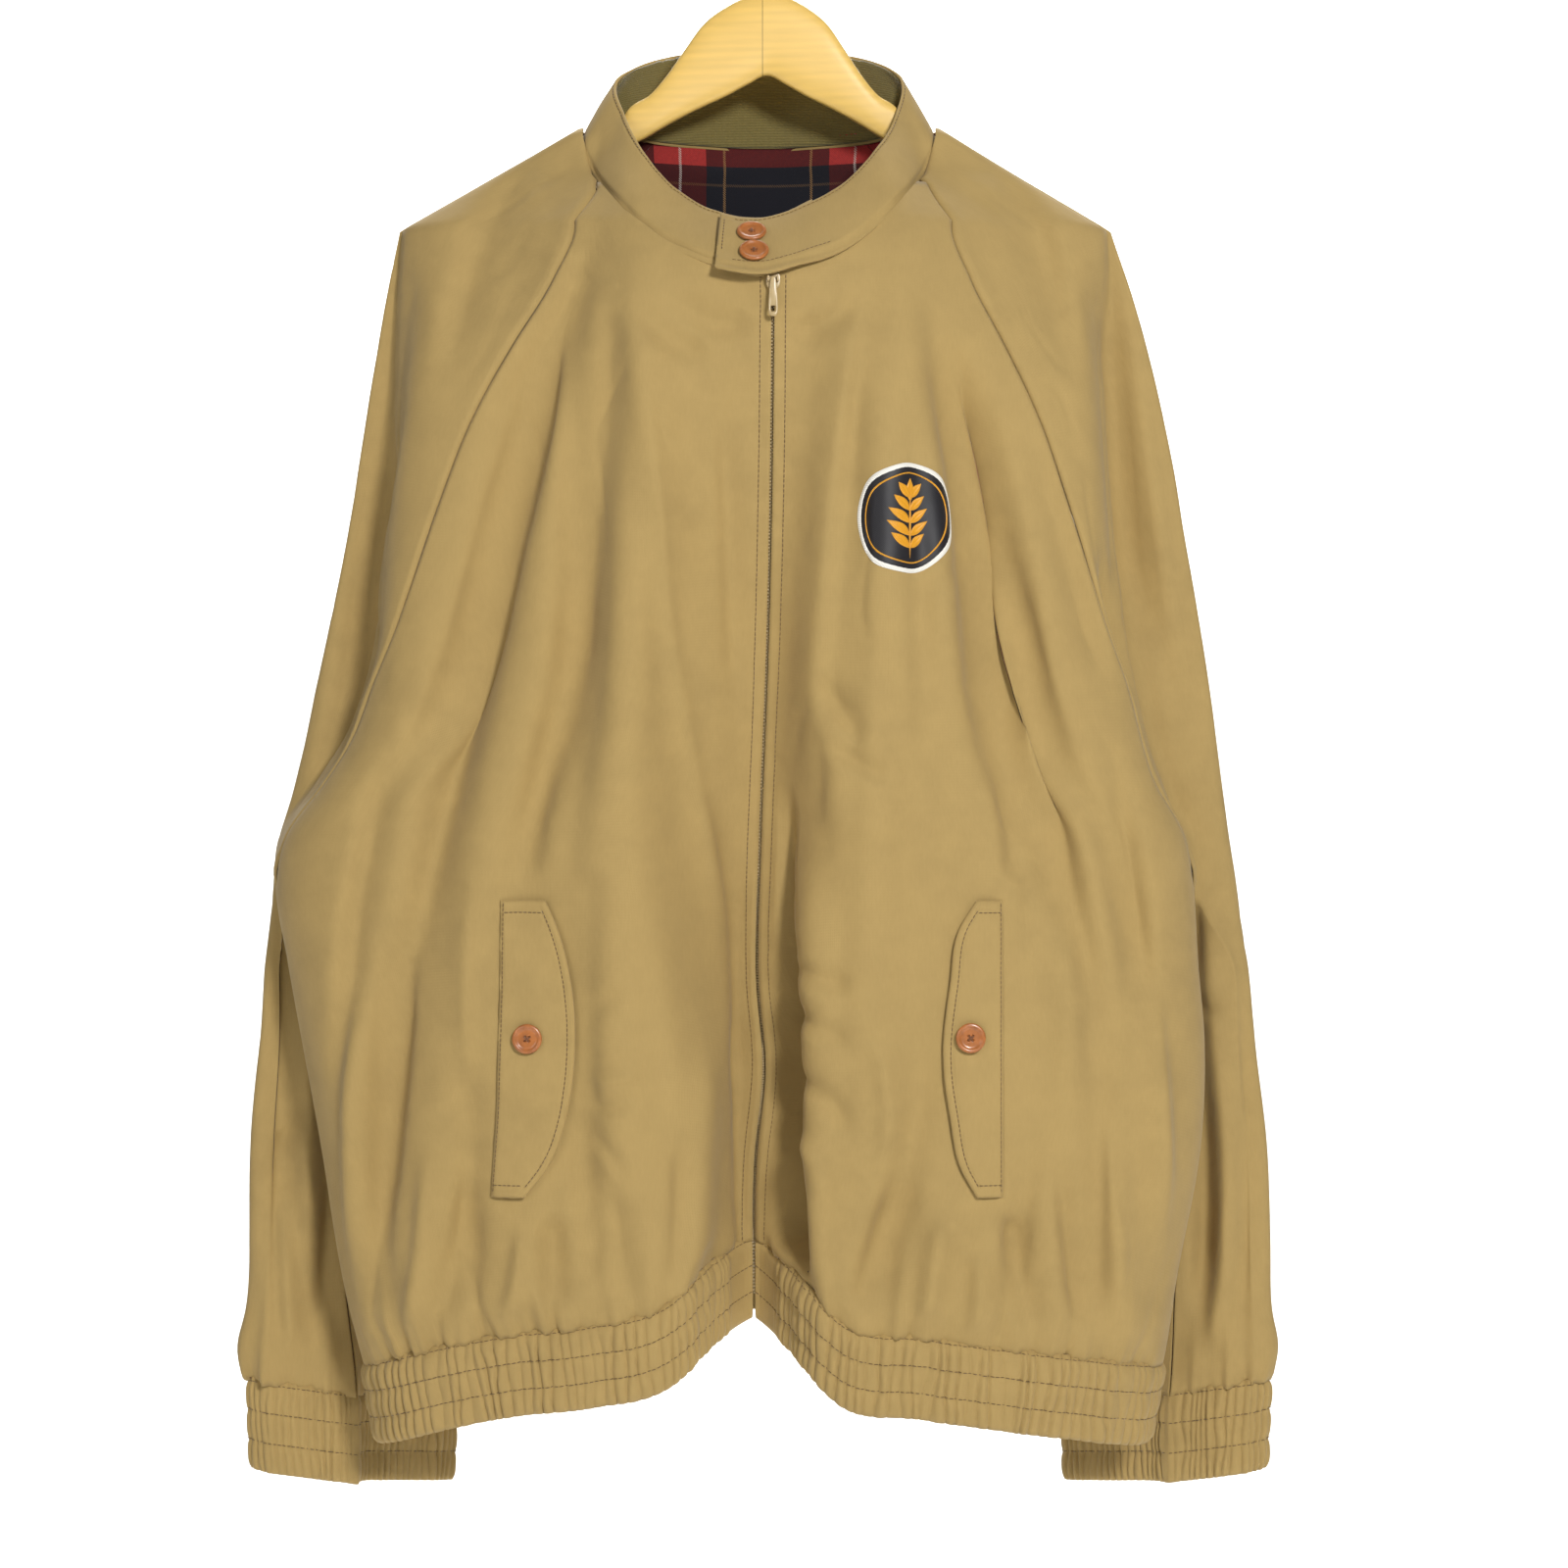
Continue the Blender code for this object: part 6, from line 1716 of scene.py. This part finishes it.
class JacketColours(PropertyGroup):
    cloth: colour_setting("Cloth", "#A68C57", "Dye of the poplin")
    knit: colour_setting("Knit", "#6E6338", "Yarn of the collar's inside")
    ground: colour_setting("Check ground", "#14141C", "Ground of the lining's check")
    block: colour_setting("Check block", "#B0322E", "Wide band of the lining's check")
    line: colour_setting("Check line", "#E8DCD2", "Pale line in the wide band")
    fine: colour_setting("Check fine line", "#B58A55", "Fine lines beside the wide band")
    wood: colour_setting("Wood", "#E5BE66", "Lacquered wood of the hanger")
    steel: colour_setting("Steel", "#C9CACC", "Plating of the hook")
    button: colour_setting("Buttons", "#A5632F", "Tinted polyester of the buttons")
    enamel: colour_setting("Zip", "#AE976A", "Enamel of the slider, its pull and the teeth")
    # The zip tape's near-black colour is painted shade: it darkens the narrow gap between the fronts in place
    # of the shadow there.
    tape: colour_setting("Zip tape", "#2B251C", "Woven tape of the zip")
    thread: colour_setting("Thread", "#6F5630", "Sewing thread")
    badge_ground: colour_setting("Badge ground", "#17151A", "Filled oval of the badge")
    badge_rim: colour_setting("Badge rim", "#E6E3DA", "Rim of the badge")
    badge_leaf: colour_setting("Badge leaves", "#D9971F", "Leaves of the badge")
    backdrop: colour_setting("Backdrop", "#F4F3F0", "Floor and backdrop")


class JacketSizes(PropertyGroup):
    crumple: share_setting("Crumple", "Strength of the worn cloth's unevenness")
    gathers: share_setting("Gathers", "Strength of the pleats at the bands")
    rib: length_setting("Rib", 3.6, "Height of the gathered ribs of the bands")
    key_power: power_setting("Key light", 59.0, "Power of the main light")
    fill_power: power_setting("Fill light", 11.0, "Power of the light from the other side")
    back_power: power_setting("Back light", 170.0, "Power of the light on the backdrop")


DETAIL = {"crumple": 1.0, "gathers": 1.0, "rib": 3.6}
GRIDS = {}


def made_material(key, maker, *colours):
    """One material for each key, made when it is first asked for."""
    found = bpy.data.materials.get(key)
    return found or maker(key, *colours)


def cloth_materials(scene):
    c = scene.jacket_colours
    return (made_material("cotton_poplin", cotton_poplin, tuple(c.cloth)),
            made_material("checked_flannel", checked_flannel, tuple(c.ground), tuple(c.block), tuple(c.line),
                          tuple(c.fine)))


def thread_material(scene):
    return made_material("polyester_thread", spun_thread, tuple(scene.jacket_colours.thread))


class PieceOperator:
    """What the operators share: they build their pieces at once and can be undone."""
    bl_options = {"REGISTER", "UNDO"}

    def execute(self, context):
        self.make(context.scene)
        return {"FINISHED"}


class JACKET_OT_fronts(PieceOperator, Operator):
    """Makes the two fronts with their creases and hem gathers"""
    bl_idname = "jacket.fronts"
    bl_label = "Fronts"

    def make(self, scene):
        for side in (-1, 1):
            name = side_name(side)
            piece, outer, out = make_front(side, cloth_materials(scene))
            GRIDS[f"front_{name}"] = (outer, out)
            finish_piece(piece, "cloth", f"front_{name}")


class JACKET_OT_back(PieceOperator, Operator):
    """Makes the back panel"""
    bl_idname = "jacket.back"
    bl_label = "Back"

    def make(self, scene):
        piece, _, _ = make_back(cloth_materials(scene))
        finish_piece(piece, "cloth", "back")


class JACKET_OT_sleeves(PieceOperator, Operator):
    """Makes the raglan sleeves"""
    bl_idname = "jacket.sleeves"
    bl_label = "Sleeves"

    def make(self, scene):
        for side in (-1, 1):
            name = f"sleeve_{side_name(side)}"
            piece, _, _ = make_sleeve(side, cloth_materials(scene))
            finish_piece(piece, "cloth", name)


class JACKET_OT_bands(PieceOperator, Operator):
    """Makes the gathered hem band and the cuffs, with their rows of stitches"""
    bl_idname = "jacket.bands"
    bl_label = "Hem band and cuffs"

    def make(self, scene):
        materials = cloth_materials(scene)
        thread = thread_material(scene)
        lines = []
        for part in ("right", "left", "back"):
            piece, outer, out = make_hem_band(part, (materials[0], materials[0]))
            finish_piece(piece, "cloth", f"hem_band_{part}")
            lines += [across_on(outer, out, share) for share in (0.03, 1 / 3, 2 / 3)]
        finish_piece(stitch_row("stitches_hem_band", lines, thread, 3.3, 2.6), "cloth")
        lines = []
        for side in (-1, 1):
            name = f"cuff_{side_name(side)}"
            piece, outer, out = make_cuff(side, (materials[0], materials[0]))
            finish_piece(piece, "cloth", name)
            lines += [across_on(outer, out, share, closed=True) for share in (0.03, 1 / 3, 2 / 3)]
        finish_piece(stitch_row("stitches_cuffs", lines, thread, 3.3, 2.6), "cloth")


class JACKET_OT_collar(PieceOperator, Operator):
    """Makes the collar with its buttoned end, its knit facing and the checked lining"""
    bl_idname = "jacket.collar"
    bl_label = "Collar and lining"

    def make(self, scene):
        cloth, lining = cloth_materials(scene)
        knit = made_material("rib_knit", rib_knit, tuple(scene.jacket_colours.knit))
        shell, outer, out, facing = make_collar((cloth,), knit)
        finish_piece(shell, "cloth", "collar")
        finish_piece(facing, "knit", "collar_facing")
        sheet = make_lining(lining)
        finish_piece(sheet, "lining", "lining_back")
        depth = lengths(outer, 0)[-1].mean()
        last = outer.shape[1] - 3
        top = across_on(outer, out, COLLAR_STITCH / depth, 6, last)
        low = across_on(outer, out, 1 - 7.5 / depth, 6, 50)
        end = line_on(outer, out, float(column_at(outer, 3.2).mean()), 4, -9)
        stitches = stitch_row("stitches_collar", [top, low, end], thread_material(scene), 2.9, 2.3)
        finish_piece(stitches, "cloth")


class JACKET_OT_flaps(PieceOperator, Operator):
    """Makes the pocket flaps with their topstitching"""
    bl_idname = "jacket.flaps"
    bl_label = "Pocket flaps"

    def make(self, scene):
        materials = cloth_materials(scene)
        lines = []
        for side in (-1, 1):
            name = side_name(side)
            piece, outer, out = make_flap(side, materials)
            finish_piece(piece, "cloth", f"pocket_flap_{name}")
            inset_columns = column_at(outer, FLAP_STITCH, True)
            lines.append(line_on(outer, out, inset_columns, 4, -4))
            lines.append(line_on(outer, out, column_at(outer, 1.8), 1, -1))
            for row in (5, len(outer) - 6):
                lines.append(across_on(outer, out, row / (len(outer) - 1), 2, int(inset_columns[row])))
        finish_piece(stitch_row("stitches_flaps", lines, thread_material(scene), 2.9, 2.3), "cloth")


class JACKET_OT_seams(PieceOperator, Operator):
    """Makes the topstitching beside the zip"""
    bl_idname = "jacket.seams"
    bl_label = "Seams"

    def make(self, scene):
        lines = []
        for side in (-1, 1):
            outer, out = GRIDS[f"front_{side_name(side)}"]
            first = int(np.argmin(np.abs(np.linspace(TIP_Z, HEM_Z, len(outer)) - (ZIP_TOP - 4))))
            lines.append(line_on(outer, out, column_at(outer, ZIP_STITCH), first, -1))
        finish_piece(stitch_row("stitches_zip", lines, thread_material(scene), 3.0, 2.4), "cloth")


class JACKET_OT_buttons(PieceOperator, Operator):
    """Makes the four-hole buttons and their thread"""
    bl_idname = "jacket.buttons"
    bl_label = "Buttons"

    def make(self, scene):
        horn = made_material("moulded_polyester", moulded_polyester, tuple(scene.jacket_colours.button))
        thread = made_material("button_thread", spun_thread, linear("#7A4A28"))
        places = []
        for side, x, z, out in ((-1, -143, -729, 4.9), (1, 122, -727, 5.0)):
            seat = on_front(side, np.array(float(x)), np.array(float(z)), np.array(out))
            above = on_front(side, np.array(float(x)), np.array(float(z)), np.array(out + 1))
            places.append((f"pocket_button_{side_name(side)}", seat, above - seat, 0.2))
        for name, turn, height in (("tab_button_upper", -0.020, 0.62), ("tab_button_lower", -0.017, 0.26)):
            p, q, r = (collar_shell(turn + a, height + b) for a, b in ((0, 0), (0.01, 0), (0, 0.1)))
            n = np.cross(q - p, r - p)
            n = n / np.linalg.norm(n)
            n = n * -np.sign(n[1])
            places.append((name, p + n * 0.6, n, 0.75))
        for name, centre, axis, turn in places:
            piece, side, up, n = make_button(f"{name}_horn", centre, axis, horn, turn)
            finish_piece(piece, "button", name)
            c, s = np.cos(turn), np.sin(turn)
            bars = button_threads(f"{name}_thread", centre, side * c + up * s, up * c - side * s, n, thread)
            finish_piece(bars, "button")


class JACKET_OT_zip(PieceOperator, Operator):
    """Makes the zip: tapes, teeth, slider and hinged pull"""
    bl_idname = "jacket.zip"
    bl_label = "Zip"

    def make(self, scene):
        c = scene.jacket_colours
        enamel = made_material("enamelled_zinc", enamelled_zinc, tuple(c.enamel))
        # Poplin in the near-black tape colour: painted shade for the slit between the fronts, on the real
        # tapes.
        tape = made_material("woven_tape", cotton_poplin, tuple(c.tape))
        make_zip(enamel, tape)


class JACKET_OT_hanger(PieceOperator, Operator):
    """Makes the wooden hanger and its hook"""
    bl_idname = "jacket.hanger"
    bl_label = "Hanger"

    def make(self, scene):
        c = scene.jacket_colours
        make_hanger(made_material("lacquered_wood", lacquered_wood, tuple(c.wood)),
                    made_material("plated_steel", plated_steel, tuple(c.steel)))


class JACKET_OT_badge(PieceOperator, Operator):
    """Makes the embroidered badge: a dark oval with a pale rim and a sprig of leaves"""
    bl_idname = "jacket.badge"
    bl_label = "Badge"

    def make(self, scene):
        c = scene.jacket_colours
        ground = made_material("rayon_thread_dark", spun_thread, tuple(c.badge_ground), 0.5)
        rim = made_material("rayon_thread_pale", spun_thread, tuple(c.badge_rim), 0.45)
        gold = made_material("rayon_thread_gold", spun_thread, tuple(c.badge_leaf), 0.4)
        x0, z0 = BADGE["x"], BADGE["z"]
        a, b = BADGE["wide"] / 2, BADGE["tall"] / 2
        grid = badge_patch(a - 1.4, b - 1.4, 0.7, 26, 120)
        points = np.concatenate([grid.reshape(-1, 3), [grid[0].mean(0)]])
        faces = grid_faces(26, 120, True).tolist() + fan(26 * 120, 0, 120)
        made = [faced_mesh("badge_ground", points, faces, ground, closed=False)]
        ring = badge_ring((a - 3.0, b - 3.0), (a, b), 0.35)
        made.append(add_mesh("badge_rim", ring.reshape(-1, 3), grid_faces(9, 160, True), [rim]))
        line = badge_ring((a - 6.6, b - 6.6), (a - 5.6, b - 5.6), 0.6)
        made.append(add_mesh("badge_line", line.reshape(-1, 3), grid_faces(9, 160, True), [gold]))
        leaves = []
        for k in range(5):
            foot = np.array([x0, z0 - 18 + k * 7.5])
            for sign in (-1, 1):
                reach = 12.5 - abs(k - 1.4) * 1.8
                leaves.append(badge_leaf(foot, foot + np.array([sign * reach, 9.0]), 5.2, 0.75))
        leaves.append(badge_leaf((x0, z0 + 10), (x0, z0 + 24), 6.0, 0.75))
        leaves.append(badge_leaf((x0, z0 - 25), (x0, z0 + 20), 1.6, 0.8))
        faces = grid_faces(22, 11)
        points = np.concatenate([leaf.reshape(-1, 3) for leaf in leaves])
        all_faces = np.concatenate([faces + k * 22 * 11 for k in range(len(leaves))])
        made.append(add_mesh("badge_leaves", points, all_faces, [gold]))
        for piece in made:
            finish_piece(piece, "cloth")


class JACKET_OT_stage(PieceOperator, Operator):
    """Makes the floor with its curved backdrop, the soft lights and the camera"""
    bl_idname = "jacket.stage"
    bl_label = "Stage"

    def make(self, scene):
        board = made_material("painted_board", plain_backdrop, tuple(scene.jacket_colours.backdrop))
        turn = np.linspace(0, np.pi / 2, 24)
        y = np.concatenate([[-3500], 2300 + 700 * np.sin(turn), [3000]])
        z = np.concatenate([[FLOOR_Z], FLOOR_Z + 700 * (1 - np.cos(turn)), [2600]])
        x = np.linspace(-4500, 4500, 12)
        grid = np.stack([np.broadcast_to(x[None], (len(y), 12)), np.broadcast_to(y[:, None], (len(y), 12)),
                         np.broadcast_to(z[:, None], (len(y), 12))], -1)
        floor = add_mesh("backdrop", grid.reshape(-1, 3), grid_faces(len(y), 12)[:, ::-1], [board])
        sizes = scene.jacket_sizes
        for name, place, aim, size, power in (
                ("key_light", (0.85, -2.4, 0.40), (0, 0, -0.72), 0.5, sizes.key_power),
                ("fill_light", (-1.5, -2.1, 0.0), (0, 0, -0.6), 1.2, sizes.fill_power),
                ("back_light", (0.0, 1.5, 1.9), (0, 3.0, -0.7), 1.8, sizes.back_power)):
            lamp = bpy.data.lights.new(name, "AREA")
            lamp.shape, lamp.size, lamp.energy = "DISK", size, power
            body = bpy.data.objects.new(name, lamp)
            body.location = place
            way = Vector(aim) - Vector(place)
            body.rotation_euler = way.to_track_quat("-Z", "Y").to_euler()
            scene.collection.objects.link(body)
        world = bpy.data.worlds.new("soft_room")
        world.use_nodes = True
        world.node_tree.nodes["Background"].inputs["Color"].default_value = (1.0, 0.985, 0.96, 1)
        world.node_tree.nodes["Background"].inputs["Strength"].default_value = WORLD_LIGHT
        scene.world = world
        lens = bpy.data.cameras.new("camera")
        lens.sensor_width, lens.lens = 36.0, 72.9
        camera = bpy.data.objects.new("camera", lens)
        camera.location = (0.0105, -2.0, -0.570)
        camera.rotation_euler = (np.pi / 2, 0, 0)
        scene.collection.objects.link(camera)
        scene.camera = camera
        scene.view_settings.view_transform = "Standard"


class JACKET_PT_panel(Panel):
    """Lists the pieces and their settings"""
    bl_label = "Jacket"
    bl_idname = "JACKET_PT_panel"
    bl_space_type = "VIEW_3D"
    bl_region_type = "UI"
    bl_category = "Jacket"

    def draw(self, context):
        layout = self.layout
        for group in (context.scene.jacket_colours, context.scene.jacket_sizes):
            column = layout.column()
            for name in group.__annotations__:
                column.prop(group, name)
        for operator in OPERATORS:
            layout.operator(operator.bl_idname)


OPERATORS = (
    JACKET_OT_fronts, JACKET_OT_back, JACKET_OT_sleeves, JACKET_OT_bands, JACKET_OT_collar, JACKET_OT_flaps,
    JACKET_OT_seams, JACKET_OT_buttons, JACKET_OT_zip, JACKET_OT_hanger, JACKET_OT_badge, JACKET_OT_stage)
CLASSES = (JacketColours, JacketSizes, *OPERATORS, JACKET_PT_panel)


def register():
    for cls in CLASSES:
        bpy.utils.register_class(cls)
    bpy.types.Scene.jacket_colours = PointerProperty(type=JacketColours)
    bpy.types.Scene.jacket_sizes = PointerProperty(type=JacketSizes)


def unregister():
    del bpy.types.Scene.jacket_sizes
    del bpy.types.Scene.jacket_colours
    for cls in reversed(CLASSES):
        bpy.utils.unregister_class(cls)


def main():
    register()
    sizes = bpy.context.scene.jacket_sizes
    DETAIL.update(crumple=sizes.crumple, gathers=sizes.gathers, rib=sizes.rib)
    for operator in OPERATORS:
        group, name = operator.bl_idname.split(".")
        getattr(getattr(bpy.ops, group), name)()


if __name__ == "__main__":
    main()
